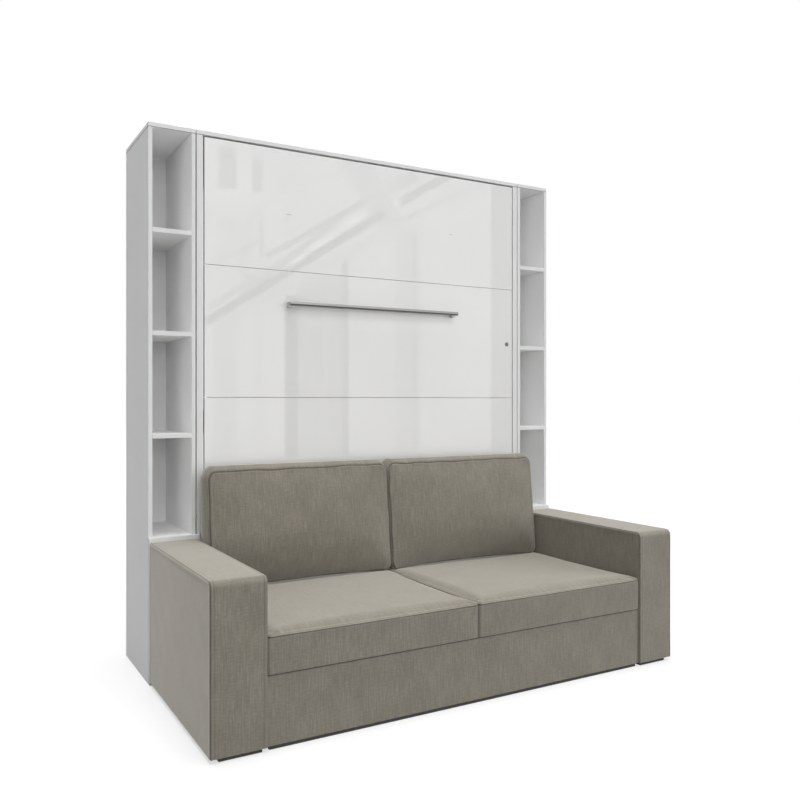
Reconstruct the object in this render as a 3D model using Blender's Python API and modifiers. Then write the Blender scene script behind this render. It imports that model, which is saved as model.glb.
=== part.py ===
"""Vertical wall bed between two shelf columns, with a two-seat sofa in front of it.

Metres, +Z up, +Y towards the wall, +X to the right for someone who faces the unit.
The origin is the middle of the footprint on the floor.
"""
import math

import bmesh
import bpy
from mathutils import Matrix, Vector

# Driving sizes of the whole unit; its width and height follow from the mattress, the boards and the gaps
CABINET_DEPTH = 0.410
SOFA_DEPTH = 0.800
CONTACT = 0.0003
OVERRUN = 0.010

# Boards of the carcass
CABINET_SIDE = 0.025
TOP_BOARD = 0.018
CARCASS_BOARD = 0.018
BOARD_EDGE = 0.0008
REAR_RAIL_HEIGHT = 0.100
MIDDLE_RAIL_HEIGHT = 0.950

# Shelf columns
COLUMN_WIDTH = 0.184
COLUMN_GAP = 0.005
COLUMN_BOARD = 0.016
SHELF_BOARD = 0.018
BASE_SHELF_TOP = 0.565
TOP_COMPARTMENT = 0.387
SHELF_COUNT = 3
COLUMN_BACK = 0.004
COLUMN_BACK_INSET = 0.004

# Folding bed
MATTRESS_WIDTH = 1.400
MATTRESS_LENGTH = 2.000
MATTRESS_THICKNESS = 0.150
MATTRESS_CROWN = 0.006
MATTRESS_CORNER = 0.060
MATTRESS_EDGE = 0.020
MATTRESS_PLAY = 0.003
BED_BOTTOM = 0.090
STRUT_ROOM = 0.051
FRONT_BOARD = 0.018
FRONT_SIDE_GAP = 0.006
FRONT_TOP_GAP = 0.006
FIRST_BOARD_HEIGHT = 0.507
BOARD_PITCH = 0.532
BOARD_SEAM = 0.0015
RAIL_THICKNESS = 0.022
RAIL_DEPTH = 0.100
RAIL_END_SETBACK = 0.003
LEDGE_WIDTH = 0.033
LEDGE_THICKNESS = 0.024
SLAT_COUNT = 14
SLAT_WIDTH = 0.070
SLAT_THICKNESS = 0.012
TAPE_WIDTH = 0.030
TAPE_THICKNESS = 0.004
TAPE_PLACE_SHARE = 0.5

# Bed hinge and gas struts, measured back from the cabinet's front and up from the floor
PIVOT_BACK = 0.050
PIVOT_HEIGHT = 0.430
PIN_RADIUS = 0.010
PIN_CLEARANCE = 0.0004
BUSH_WALL = 0.006
BUSH_FLANGE = 0.001
PLATE_THICKNESS = 0.003
CABINET_PLATE_RADIUS = 0.035
BED_PLATE_RADIUS = 0.026
BED_PLATE_TIP_RADIUS = 0.016
STRUT_TOP_BACK = 0.250
STRUT_TOP_HEIGHT = 0.950
STRUT_FOOT_BACK = 0.100
STRUT_FOOT_HEIGHT = 0.170
STUD_RADIUS = 0.004
STUD_SHORT = 0.001
EYE_RADIUS = 0.011
EYE_THICKNESS = 0.010
STRUT_CYLINDER_RADIUS = 0.011
STRUT_CYLINDER_LENGTH = 0.420
STRUT_ROD_RADIUS = 0.005
STRUT_BORE_BOTTOM = 0.020
STRUT_ROD_INSIDE = 0.030

# Folding leg: its foot is the bar across the front
BAR_LENGTH = 0.840
BAR_HEIGHT = 0.022
BAR_DEPTH = 0.025
BAR_STANDOFF = 0.020
BAR_CHAMFER = 0.008
BAR_EDGE = 0.001
LEG_PIN_BELOW_TOP = 0.275
LEG_ARM_WIDTH = 0.020
LEG_ARM_DEPTH = 0.013
LEG_SLOT_PLAY = 0.0004
LEG_PIN_RADIUS = 0.003
LEG_PIN_REACH = 0.008
LEG_FLOOR_PLAY = 0.0005

# Cylinder lock
LOCK_FROM_EDGE = 0.033
LOCK_ABOVE_SEAM = 0.263
LOCK_FLANGE_RADIUS = 0.0105
LOCK_FLANGE_THICKNESS = 0.0025
LOCK_SLEEVE_RADIUS = 0.0085
LOCK_PLUG_RADIUS = 0.0068
LOCK_SLEEVE_BEHIND = 0.0035
LOCK_KEY_SLOT_WIDTH = 0.0016
LOCK_KEY_SLOT_HEIGHT = 0.00816
LOCK_KEY_SLOT_DEPTH = 0.003
CAM_LENGTH = 0.0215
CAM_WIDTH = 0.010
CAM_THICKNESS = 0.002
CAM_PLAY = 0.001
KEEPER_HEIGHT = 0.030
KEEPER_LIP = 0.0022
KEEPER_FOOT = 0.022

# Sofa
ARM_SIDE_CLEARANCE = 0.008
ARM_HEIGHT = 0.550
ARM_FRONT_ROUNDING = 0.022
ARM_EDGE_ROUNDING = 0.006
FLOOR_GAP = 0.012
BACK_BOARD_OVERLAP = 0.008
GLIDE_OUTER_INSET = 0.030
GLIDE_INSET = 0.012
FRONT_RAIL_SETBACK = 0.010
FRONT_RAIL_THICKNESS = 0.028
FRONT_RAIL_HEIGHT = 0.223
FRONT_RAIL_ROUNDING = 0.006
PLINTH_SETBACK = 0.006
PLATFORM_BOARD = 0.018
SEAT_SETBACK = 0.003
SEAT_TOP = 0.364
SEAT_CROWN = 0.012
SEAT_ROUNDING = 0.014
CUSHION_SIDE_GAP = 0.003
CUSHION_MIDDLE_GAP = 0.0012
BACK_CUSHION_THICKNESS = 0.088
BACK_CUSHION_LEAN = 0.054
BACK_CUSHION_HEIGHT = 0.470
BACK_CUSHION_CROWN = 0.022
BACK_CUSHION_ROUNDING = 0.040
CUSHION_DRAW_IN = 0.006
CUSHION_AXIS_AHEAD = 1.000
CUSHION_FLOOR_PLAY = 0.006

# Counts and shares of the cages and the round parts
MIDDLE_SHARE = 0.5
SEAT_WIDTH_SHARES = (0.25, 0.5, 0.75)
SEAT_DEPTH_SHARES = (0.3, 0.65, 1.0)
BACK_WIDTH_SHARES = (0.3, 0.5, 0.7)
BACK_HEIGHT_SHARES = (0.33, 0.66)
MATTRESS_LENGTH_SHARES = (0.35, 0.65)
ROUND_PROFILE_SHARE = 0.5
ARM_FRONT_SEGMENTS = 5
ARM_EDGE_SEGMENTS = 3
RAIL_EDGE_SEGMENTS = 2

# Shared places across the unit, from the mattress outwards
RAIL_INNER_X = MATTRESS_WIDTH / 2 + MATTRESS_PLAY
RAIL_OUTER_X = RAIL_INNER_X + RAIL_THICKNESS
SIDE_INNER_X = RAIL_OUTER_X + STRUT_ROOM
SIDE_OUTER_X = SIDE_INNER_X + CABINET_SIDE
COLUMN_NEAR_X = SIDE_OUTER_X + COLUMN_GAP
HALF_WIDTH = COLUMN_NEAR_X + COLUMN_WIDTH
STRUT_X = (RAIL_OUTER_X + SIDE_INNER_X) / 2
FRONT_HALF_WIDTH = SIDE_INNER_X - FRONT_SIDE_GAP
ARM_INNER_X = SIDE_OUTER_X + ARM_SIDE_CLEARANCE
BACK_BOARD_INNER_X = SIDE_OUTER_X - BACK_BOARD_OVERLAP
CUSHION_OUTER_X = ARM_INNER_X - CUSHION_SIDE_GAP

# Shared places up the unit, from the bed's lower end
RAIL_LOW_Z = BED_BOTTOM + RAIL_END_SETBACK
RAIL_HIGH_Z = RAIL_LOW_Z + MATTRESS_LENGTH + 2 * (MATTRESS_PLAY + RAIL_THICKNESS)
BED_TOP = RAIL_HIGH_Z + RAIL_END_SETBACK
UNDER_TOP_Z = BED_TOP + FRONT_TOP_GAP
UNIT_HEIGHT = UNDER_TOP_Z + TOP_BOARD
SHELF_PITCH = (UNDER_TOP_Z - TOP_COMPARTMENT - BASE_SHELF_TOP) / SHELF_COUNT
FIRST_SEAM_Z = BED_TOP - FIRST_BOARD_HEIGHT
SEAM_PLACES = [FIRST_SEAM_Z - step * BOARD_PITCH for step in range(3)]
SOFA_RAIL_TOP = FLOOR_GAP + FRONT_RAIL_HEIGHT
LEG_LENGTH = PIVOT_HEIGHT - PIVOT_BACK + LEG_ARM_DEPTH / 2 - LEG_FLOOR_PLAY
LEG_PIN_Z = BED_TOP - LEG_PIN_BELOW_TOP
BAR_BOTTOM = LEG_PIN_Z - LEG_LENGTH

# Shared places from the front of the sofa to the wall
FRONT_Y = (SOFA_DEPTH - CABINET_DEPTH) / 2
BACK_Y = FRONT_Y + CABINET_DEPTH
SOFA_FRONT_Y = FRONT_Y - SOFA_DEPTH
SOFA_BACK_Y = FRONT_Y - CARCASS_BOARD - CONTACT
CUSHION_BACK_Y = SOFA_BACK_Y - CUSHION_SIDE_GAP
BED_BACK_OF_FRONT = FRONT_Y + FRONT_BOARD

# Joint axes and other points
PIVOT = Vector((0, FRONT_Y + PIVOT_BACK, PIVOT_HEIGHT))
STRUT_TOP = Vector((0, FRONT_Y + STRUT_TOP_BACK, STRUT_TOP_HEIGHT))
STRUT_FOOT = Vector((0, FRONT_Y + STRUT_FOOT_BACK, STRUT_FOOT_HEIGHT))
LEG_PIN = Vector((0, FRONT_Y + LEG_ARM_DEPTH / 2, LEG_PIN_Z))
LOCK = Vector((FRONT_HALF_WIDTH - LOCK_FROM_EDGE, FRONT_Y, SEAM_PLACES[1] + LOCK_ABOVE_SEAM))
CUSHION_REACH = (
    BACK_CUSHION_THICKNESS + BACK_CUSHION_LEAN / 2 + BACK_CUSHION_CROWN
    + BACK_CUSHION_LEAN ** 2 / (16 * BACK_CUSHION_CROWN)
)
CUSHION_FRONT_Y = CUSHION_BACK_Y - CUSHION_REACH
CUSHION_AXIS = Vector((
    0,
    FRONT_Y - CUSHION_AXIS_AHEAD,
    FRONT_Y - CUSHION_AXIS_AHEAD - CUSHION_FRONT_Y + CUSHION_FLOOR_PLAY,
))

SIDES = (("left", -1), ("right", 1))
PIN_SEGMENTS = 24
BUSH_SEGMENTS = 28
ARC_SEGMENTS = 10

for old in list(bpy.data.objects):
    bpy.data.objects.remove(old, do_unlink=True)


def make_collection(name):
    """Return a new collection linked to the scene."""
    collection = bpy.data.collections.new(name)
    bpy.context.scene.collection.children.link(collection)
    return collection


PARTS = make_collection("wall_bed_with_sofa")
CUTTERS = make_collection("cutters")


def make_material(name, colour, roughness, metallic=0.0):
    """Return a Principled material; colour is linear RGB."""
    material = bpy.data.materials.new(name)
    material.use_nodes = True
    shader = material.node_tree.nodes["Principled BSDF"]
    shader.inputs["Base Color"].default_value = (*colour, 1.0)
    shader.inputs["Roughness"].default_value = roughness
    shader.inputs["Metallic"].default_value = metallic
    return material


WHITE_BOARD = make_material("white_melamine_board", (0.69, 0.70, 0.70), 0.50)
GLOSS_BOARD = make_material("gloss_white_board", (0.76, 0.76, 0.75), 0.08)
GREIGE_FABRIC = make_material("greige_woven_fabric", (0.26, 0.25, 0.21), 0.95)
TICKING = make_material("mattress_ticking", (0.76, 0.76, 0.73), 0.90)
BIRCH = make_material("birch_slats", (0.58, 0.43, 0.26), 0.55)
BRUSHED_METAL = make_material("brushed_aluminium", (0.50, 0.50, 0.49), 0.30, 1.0)
ZINC_STEEL = make_material("zinc_plated_steel", (0.52, 0.53, 0.54), 0.38, 1.0)
BLACK_STEEL = make_material("black_painted_steel", (0.02, 0.02, 0.02), 0.42)
BLACK_PLASTIC = make_material("black_plastic", (0.025, 0.024, 0.023), 0.60)


def make_axis(name, location, parent=None):
    """Return an empty on a joint's axis."""
    empty = bpy.data.objects.new(name, None)
    PARTS.objects.link(empty)
    empty.matrix_world = Matrix.Translation(location)
    carry(empty, parent)
    return empty


def carry(piece, axis):
    """Parent a piece to a joint's empty and keep its place."""
    if axis is not None:
        piece.parent = axis
        piece.matrix_parent_inverse = Matrix.Translation(axis_places[axis.name]).inverted()


axis_places = {
    "bed_fold_axis": PIVOT,
    "leg_swing_axis": LEG_PIN,
    "cushion_axis": CUSHION_AXIS,
    "strut_axis": STRUT_TOP,
    "lock_axis": LOCK,
}
BED_AXIS = make_axis("bed_fold_axis", PIVOT)
LEG_AXIS = make_axis("leg_swing_axis", LEG_PIN)
CUSHION_EMPTY = make_axis("cushion_axis", CUSHION_AXIS)
STRUT_AXIS = make_axis("strut_axis", STRUT_TOP)
LOCK_AXIS = make_axis("lock_axis", LOCK)


def finish(name, mesh, centre, material, axis=None, edge=0.0, segments=1):
    """Make an object of a mesh, with its material, its parent and rounded edges."""
    piece = bpy.data.objects.new(name, mesh)
    piece.location = centre
    if material is None:
        CUTTERS.objects.link(piece)
        piece.hide_render = True
        piece.display_type = "WIRE"
    else:
        PARTS.objects.link(piece)
        mesh.materials.append(material)
        carry(piece, axis)
    if edge:
        bevel = piece.modifiers.new("rounded_edges", "BEVEL")
        bevel.width = edge
        bevel.segments = segments
        bevel.limit_method = "ANGLE"
    return piece


def block_mesh(name, size):
    """Return a box mesh about its own middle."""
    shape = bmesh.new()
    bmesh.ops.create_cube(shape, size=1.0)
    bmesh.ops.scale(shape, vec=size, verts=shape.verts)
    mesh = bpy.data.meshes.new(name)
    shape.to_mesh(mesh)
    shape.free()
    return mesh


def block(name, x, y, z, material=None, axis=None, edge=0.0, segments=1):
    """Make a box between pairs of x, y and z places; without a material it is a cutter."""
    low = Vector((min(x), min(y), min(z)))
    high = Vector((max(x), max(y), max(z)))
    mesh = block_mesh(name, high - low)
    return finish(name, mesh, (low + high) / 2, material, axis, edge, segments)


def rod(name, start, end, radius, segments, material=None, axis=None):
    """Make a round rod from one point to another; without a material it is a cutter."""
    run = Vector(end) - Vector(start)
    shape = bmesh.new()
    bmesh.ops.create_cone(
        shape, cap_ends=True, segments=segments, radius1=radius, radius2=radius, depth=run.length
    )
    bmesh.ops.rotate(shape, matrix=run.to_track_quat("Z", "Y").to_matrix(), verts=shape.verts)
    mesh = bpy.data.meshes.new(name)
    shape.to_mesh(mesh)
    shape.free()
    mesh.shade_smooth()
    mesh.set_sharp_from_angle(angle=math.radians(35))
    return finish(name, mesh, (Vector(start) + Vector(end)) / 2, material, axis)


def combine(piece, tool, operation):
    """Add a Boolean of one object with another."""
    boolean = piece.modifiers.new(f"{operation.lower()}_{tool.name}", "BOOLEAN")
    boolean.operation = operation
    boolean.object = tool
    boolean.solver = "EXACT"


def cut(piece, tool):
    """Cut a tool out of a piece."""
    combine(piece, tool, "DIFFERENCE")


def join(piece, tool):
    """Join a tool's volume to a piece."""
    combine(piece, tool, "UNION")


def both(half):
    """Return the pair of places that lie a half width to each side of the middle."""
    return (-half, half)


def capsule_plate(name, x, ends, radii, material, axis=None):
    """Make a plate whose outline goes round two circles; ends are (y, z) points."""
    (first, second) = (Vector(end) for end in ends)
    direction = (second - first).normalized()
    heading = math.atan2(direction.y, direction.x)
    lean = math.asin((radii[0] - radii[1]) / (second - first).length)
    outline = []
    for centre, radius, start, sweep in (
        (first, radii[0], heading + math.pi / 2 - lean, math.pi + 2 * lean),
        (second, radii[1], heading - math.pi / 2 + lean, math.pi - 2 * lean),
    ):
        for step in range(ARC_SEGMENTS + 1):
            angle = start + sweep * step / ARC_SEGMENTS
            outline.append(centre + radius * Vector((math.cos(angle), math.sin(angle))))
    curve = bpy.data.curves.new(name, "CURVE")
    curve.dimensions = "2D"
    curve.fill_mode = "BOTH"
    curve.extrude = abs(x[1] - x[0]) / 2
    spline = curve.splines.new("POLY")
    spline.points.add(len(outline) - 1)
    for point, place in zip(spline.points, outline):
        point.co = (place.x, place.y, 0, 1)
    spline.use_cyclic_u = True
    guide = bpy.data.objects.new(name + "_outline", curve)
    CUTTERS.objects.link(guide)
    mesh = bpy.data.meshes.new_from_object(guide.evaluated_get(bpy.context.evaluated_depsgraph_get()))
    bpy.data.objects.remove(guide, do_unlink=True)
    shape = bmesh.new()
    shape.from_mesh(mesh)
    bmesh.ops.remove_doubles(shape, verts=shape.verts, dist=CONTACT / 10)
    turn = Matrix(((0, 0, 1), (1, 0, 0), (0, 1, 0)))
    bmesh.ops.rotate(shape, matrix=turn, verts=shape.verts)
    shape.to_mesh(mesh)
    shape.free()
    mesh.name = name
    mesh.materials.clear()
    return finish(name, mesh, Vector((sum(x) / 2, 0, 0)), material, axis)


def soft_block(name, x, y, z, material, cuts, form, axis=None):
    """Make a soft form: a box cut into a coarse cage, moved by a rule and subdivided.

    cuts holds, for each axis, the places of the cage's extra loops, and form moves a cage point.
    """
    low = Vector((min(x), min(y), min(z)))
    high = Vector((max(x), max(y), max(z)))
    middle = (low + high) / 2
    shape = bmesh.new()
    bmesh.ops.create_cube(shape, size=1.0)
    bmesh.ops.scale(shape, vec=high - low, verts=shape.verts)
    for direction, places in zip(((1, 0, 0), (0, 1, 0), (0, 0, 1)), cuts):
        for place in places:
            point = Vector(direction) * place - Vector(direction) * Vector(direction).dot(middle)
            bmesh.ops.bisect_plane(
                shape,
                geom=shape.verts[:] + shape.edges[:] + shape.faces[:],
                plane_co=point,
                plane_no=direction,
            )
    for vert in shape.verts:
        vert.co = Vector(form(vert.co + middle)) - middle
    mesh = bpy.data.meshes.new(name)
    shape.to_mesh(mesh)
    shape.free()
    mesh.shade_smooth()
    piece = finish(name, mesh, middle, material, axis)
    smooth = piece.modifiers.new("soft_form", "SUBSURF")
    smooth.levels = 1
    smooth.render_levels = 1
    return piece


def loops(low, high, rounding, middle_shares=()):
    """Return cage loop places: one a rounding in from each end, and shares of the length."""
    inner = [low + (high - low) * share for share in middle_shares]
    return [low + rounding, *inner, high - rounding]


def bulge(place, low, high):
    """Return 1 in the middle between two places, falling to 0 at them and beyond."""
    share = (2 * place - low - high) / (high - low)
    return max(0.0, 1.0 - share * share)


def build_cabinet():
    """Build the bed cabinet: sides, top, floor board and rear rails."""
    side_top = UNDER_TOP_Z - CONTACT
    depth = (FRONT_Y, BACK_Y)
    inner = SIDE_INNER_X - CONTACT
    for label, way in SIDES:
        block(
            f"cabinet_side_{label}", (way * SIDE_INNER_X, way * SIDE_OUTER_X), depth, (0, side_top),
            WHITE_BOARD, edge=BOARD_EDGE,
        )
    block(
        "cabinet_top", both(SIDE_OUTER_X), depth, (UNDER_TOP_Z, UNIT_HEIGHT), WHITE_BOARD, edge=BOARD_EDGE
    )
    block(
        "cabinet_floor_board", both(inner), (FRONT_Y + CARCASS_BOARD, BACK_Y), (0, CARCASS_BOARD),
        WHITE_BOARD, edge=BOARD_EDGE,
    )
    rail_depth = (BACK_Y - CARCASS_BOARD, BACK_Y)
    block(
        "rear_rail_top", both(inner), rail_depth, (side_top - REAR_RAIL_HEIGHT, side_top),
        WHITE_BOARD, edge=BOARD_EDGE,
    )
    block(
        "rear_rail_middle", both(inner), rail_depth,
        (MIDDLE_RAIL_HEIGHT, MIDDLE_RAIL_HEIGHT + REAR_RAIL_HEIGHT), WHITE_BOARD, edge=BOARD_EDGE,
    )


def build_column(label, way):
    """Build one open shelf column beside the cabinet."""
    side_top = UNDER_TOP_Z - CONTACT
    depth = (FRONT_Y, BACK_Y)
    board_x = COLUMN_NEAR_X + COLUMN_BOARD
    inside = (way * (board_x + CONTACT), way * (HALF_WIDTH - COLUMN_BOARD - CONTACT))
    back_y = BACK_Y - COLUMN_BACK_INSET
    name = f"column_{label}"
    block(
        f"{name}_inner_side", (way * COLUMN_NEAR_X, way * board_x), depth, (0, side_top),
        WHITE_BOARD, edge=BOARD_EDGE,
    )
    block(
        f"{name}_outer_side", (way * (HALF_WIDTH - COLUMN_BOARD), way * HALF_WIDTH), depth, (0, side_top),
        WHITE_BOARD, edge=BOARD_EDGE,
    )
    block(
        f"{name}_top", (way * COLUMN_NEAR_X, way * HALF_WIDTH), depth, (UNDER_TOP_Z, UNIT_HEIGHT),
        WHITE_BOARD, edge=BOARD_EDGE,
    )
    block(
        f"{name}_back", inside, (back_y - COLUMN_BACK, back_y), (0, side_top), WHITE_BOARD
    )
    shelf_depth = (FRONT_Y, back_y - COLUMN_BACK - CONTACT)
    for level in range(SHELF_COUNT + 1):
        top = BASE_SHELF_TOP + level * SHELF_PITCH
        shelf = f"{name}_shelf_{level}" if level else f"{name}_base_shelf"
        block(shelf, inside, shelf_depth, (top - SHELF_BOARD, top), WHITE_BOARD, edge=BOARD_EDGE)


def build_hinge_plates(label, way):
    """Build the cabinet's hinge plate with its pin, and the bed's plate with its bush and stud."""
    wall_x = SIDE_INNER_X - CONTACT
    plate_x = wall_x - PLATE_THICKNESS
    eye_inner = STRUT_X - EYE_THICKNESS / 2
    plate = capsule_plate(
        f"hinge_plate_{label}", (way * plate_x, way * wall_x), (PIVOT.yz, STRUT_TOP.yz),
        (CABINET_PLATE_RADIUS, CABINET_PLATE_RADIUS), ZINC_STEEL,
    )
    middle = way * (plate_x + wall_x) / 2
    for tag, place, end, radius in (
        ("pin", PIVOT, RAIL_INNER_X + CONTACT, PIN_RADIUS),
        ("stud", STRUT_TOP, eye_inner, STUD_RADIUS),
    ):
        start = Vector((middle, place.y, place.z))
        stop = Vector((way * end, place.y, place.z))
        join(plate, rod(f"hinge_plate_{tag}_{label}", start, stop, radius, PIN_SEGMENTS))

    inner = RAIL_OUTER_X + CONTACT
    outer = inner + PLATE_THICKNESS
    bed_plate = capsule_plate(
        f"bed_hinge_plate_{label}", (way * inner, way * outer), (PIVOT.yz, STRUT_FOOT.yz),
        (BED_PLATE_RADIUS, BED_PLATE_TIP_RADIUS), ZINC_STEEL, BED_AXIS,
    )
    bore = PIN_RADIUS + PIN_CLEARANCE
    for tag, place, first, last, radius in (
        ("bush", PIVOT, outer + BUSH_FLANGE, RAIL_INNER_X + CONTACT, bore + BUSH_WALL),
        ("stud", STRUT_FOOT, (inner + outer) / 2, eye_inner - STUD_SHORT, STUD_RADIUS),
    ):
        start = Vector((way * first, place.y, place.z))
        stop = Vector((way * last, place.y, place.z))
        join(bed_plate, rod(f"bed_plate_{tag}_{label}", start, stop, radius, BUSH_SEGMENTS))
    start = Vector((way * (RAIL_INNER_X - OVERRUN), PIVOT.y, PIVOT.z))
    stop = Vector((way * (outer + OVERRUN), PIVOT.y, PIVOT.z))
    cut(bed_plate, rod(f"bush_bore_{label}", start, stop, bore, BUSH_SEGMENTS))


def build_strut(label, way):
    """Build one gas strut: a cylinder hung on the cabinet's stud and the rod that slides in it."""
    top = Vector((way * STRUT_X, STRUT_TOP.y, STRUT_TOP.z))
    foot = Vector((way * STRUT_X, STRUT_FOOT.y, STRUT_FOOT.z))
    down = (foot - top).normalized()
    half_eye = Vector((EYE_THICKNESS / 2, 0, 0))
    open_end = top + down * STRUT_CYLINDER_LENGTH
    inner_end = open_end - down * STRUT_ROD_INSIDE
    bore_end = top + down * (EYE_RADIUS + STRUT_BORE_BOTTOM)
    body = rod(
        f"strut_cylinder_{label}", top + down * EYE_RADIUS / 2, open_end, STRUT_CYLINDER_RADIUS,
        PIN_SEGMENTS, BLACK_STEEL, STRUT_AXIS,
    )
    bar = rod(
        f"strut_rod_{label}", inner_end, foot - down * EYE_RADIUS / 2, STRUT_ROD_RADIUS,
        PIN_SEGMENTS, ZINC_STEEL, STRUT_AXIS,
    )
    for piece, place in ((body, top), (bar, foot)):
        join(piece, rod(f"{piece.name}_eye", place - half_eye, place + half_eye, EYE_RADIUS, PIN_SEGMENTS))
    flat_reach = half_eye * 2 + Vector((STRUT_CYLINDER_RADIUS, 0, 0))
    for piece, place in ((body, top), (bar, foot)):
        hole = STUD_RADIUS + PIN_CLEARANCE
        cut(piece, rod(f"{piece.name}_eye_hole", place - flat_reach, place + flat_reach, hole, PIN_SEGMENTS))
    bore = STRUT_ROD_RADIUS + PIN_CLEARANCE
    cut(body, rod(f"strut_bore_{label}", bore_end, open_end + down * OVERRUN, bore, PIN_SEGMENTS))


def leg_slot(way):
    """Return the x, y and z places of the slot that holds one arm of the leg."""
    outer = BAR_LENGTH / 2 + LEG_SLOT_PLAY
    inner = BAR_LENGTH / 2 - LEG_ARM_WIDTH - LEG_SLOT_PLAY
    depth = (FRONT_Y - OVERRUN, FRONT_Y + LEG_ARM_DEPTH + LEG_SLOT_PLAY)
    height = (BAR_BOTTOM - LEG_SLOT_PLAY, LEG_PIN.z + LEG_ARM_DEPTH / 2 + LEG_SLOT_PLAY)
    return (way * inner, way * outer), depth, height


def build_front_boards():
    """Build the four gloss boards of the bed's front, with the leg's slots and the lock's hole."""
    tops = [BED_TOP, *(seam - BOARD_SEAM / 2 for seam in SEAM_PLACES)]
    bottoms = [*(seam + BOARD_SEAM / 2 for seam in SEAM_PLACES), BED_BOTTOM]
    boards = [
        block(
            f"front_board_{number}", both(FRONT_HALF_WIDTH), (FRONT_Y, BED_BACK_OF_FRONT),
            (bottom, top), GLOSS_BOARD, BED_AXIS, BOARD_EDGE,
        )
        for number, (bottom, top) in enumerate(zip(bottoms, tops), start=1)
    ]
    for label, way in SIDES:
        slot = block(f"leg_slot_{label}", *leg_slot(way))
        cut(boards[0], slot)
        cut(boards[1], slot)
        middle = way * (BAR_LENGTH - LEG_ARM_WIDTH) / 2
        reach = LEG_ARM_WIDTH / 2 + LEG_PIN_REACH + LEG_SLOT_PLAY
        start = Vector((middle - reach, LEG_PIN.y, LEG_PIN.z))
        stop = Vector((middle + reach, LEG_PIN.y, LEG_PIN.z))
        radius = LEG_PIN_RADIUS + PIN_CLEARANCE
        cut(boards[0], rod(f"leg_pin_hole_{label}", start, stop, radius, PIN_SEGMENTS))
    through = Vector((0, FRONT_BOARD + OVERRUN, 0))
    hole = rod(
        "lock_hole", LOCK - Vector((0, OVERRUN, 0)), LOCK + through, LOCK_SLEEVE_RADIUS + CONTACT,
        BUSH_SEGMENTS,
    )
    cut(boards[1], hole)


def build_bed_frame():
    """Build the bed's rails, slatted base and mattress, in the raised place."""
    rail_y = (BED_BACK_OF_FRONT + CONTACT, BED_BACK_OF_FRONT + CONTACT + RAIL_DEPTH)
    ledge_y = (rail_y[0], rail_y[0] + LEDGE_THICKNESS)
    length = (RAIL_LOW_Z, RAIL_HIGH_Z)
    for label, way in SIDES:
        rail = block(
            f"bed_rail_{label}", (way * RAIL_INNER_X, way * RAIL_OUTER_X), rail_y, length,
            WHITE_BOARD, BED_AXIS,
        )
        end_gap = RAIL_THICKNESS + CONTACT
        ledge = block(
            f"bed_ledge_{label}",
            (way * (RAIL_INNER_X - LEDGE_WIDTH), way * (RAIL_INNER_X + RAIL_THICKNESS / 2)),
            ledge_y, (length[0] + end_gap, length[1] - end_gap),
        )
        join(rail, ledge)
        radius = PIN_RADIUS + PIN_CLEARANCE + BUSH_WALL + CONTACT
        start = Vector((way * (RAIL_INNER_X - OVERRUN), PIVOT.y, PIVOT.z))
        stop = Vector((way * (RAIL_OUTER_X + OVERRUN), PIVOT.y, PIVOT.z))
        reach = block(
            f"bush_pocket_{label}",
            (way * (RAIL_INNER_X - LEDGE_WIDTH - OVERRUN), way * RAIL_INNER_X),
            (PIVOT.y - radius, ledge_y[1] + OVERRUN), (PIVOT.z - radius, PIVOT.z + radius),
        )
        cut(rail, rod(f"rail_bore_{label}", start, stop, radius, BUSH_SEGMENTS))
        cut(rail, reach)
    across = both(RAIL_INNER_X - CONTACT)
    ends = (
        ("bed_head_rail", (length[0], length[0] + RAIL_THICKNESS)),
        ("bed_foot_rail", (length[1] - RAIL_THICKNESS, length[1])),
    )
    for name, height in ends:
        block(name, across, rail_y, height, WHITE_BOARD, BED_AXIS, BOARD_EDGE)
    build_slats(ledge_y[1] + CONTACT, length)
    build_mattress(ledge_y[1] + CONTACT + SLAT_THICKNESS + CONTACT, length)


def build_slats(front_y, length):
    """Build the slatted base: slats joined by two tapes, all one sheet that lies on the ledges."""
    clear = RAIL_THICKNESS + MATTRESS_PLAY
    span = (length[0] + clear, length[1] - clear)
    pitch = (span[1] - span[0] - SLAT_WIDTH) / (SLAT_COUNT - 1)
    half = RAIL_INNER_X - CONTACT * 2
    depth = (front_y, front_y + SLAT_THICKNESS)
    tape_inset = (SLAT_THICKNESS - TAPE_THICKNESS) / 2
    tape_y = (depth[0] + tape_inset, depth[1] - tape_inset)
    base = block("slat_base", both(half), depth, (span[0], span[0] + SLAT_WIDTH), BIRCH, BED_AXIS)
    for number in range(1, SLAT_COUNT):
        low = span[0] + number * pitch
        join(base, block(f"slat_{number + 1}", both(half), depth, (low, low + SLAT_WIDTH)))
    for label, way in SIDES:
        middle = way * half * TAPE_PLACE_SHARE
        across = (middle - TAPE_WIDTH / 2, middle + TAPE_WIDTH / 2)
        inset = SLAT_WIDTH / 2
        join(base, block(f"slat_tape_{label}", across, tape_y, (span[0] + inset, span[1] - inset)))


def build_mattress(front_y, length):
    """Build the mattress: a thick pad with rounded corners and a slight crown."""
    middle_z = (length[0] + length[1]) / 2
    x = both(MATTRESS_WIDTH / 2)
    y = (front_y, front_y + MATTRESS_THICKNESS)
    z = (middle_z - MATTRESS_LENGTH / 2, middle_z + MATTRESS_LENGTH / 2)

    def form(point):
        crown = MATTRESS_CROWN * bulge(point.x, *x) * bulge(point.z, *z)
        lift = crown if point.y > y[1] - MATTRESS_EDGE / 2 else 0.0
        return point.x, point.y + lift, point.z

    cuts = (
        loops(*x, MATTRESS_CORNER, (MIDDLE_SHARE,)),
        loops(*y, MATTRESS_EDGE),
        loops(*z, MATTRESS_CORNER, MATTRESS_LENGTH_SHARES),
    )
    soft_block("mattress", x, y, z, TICKING, cuts, form, BED_AXIS)


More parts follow.
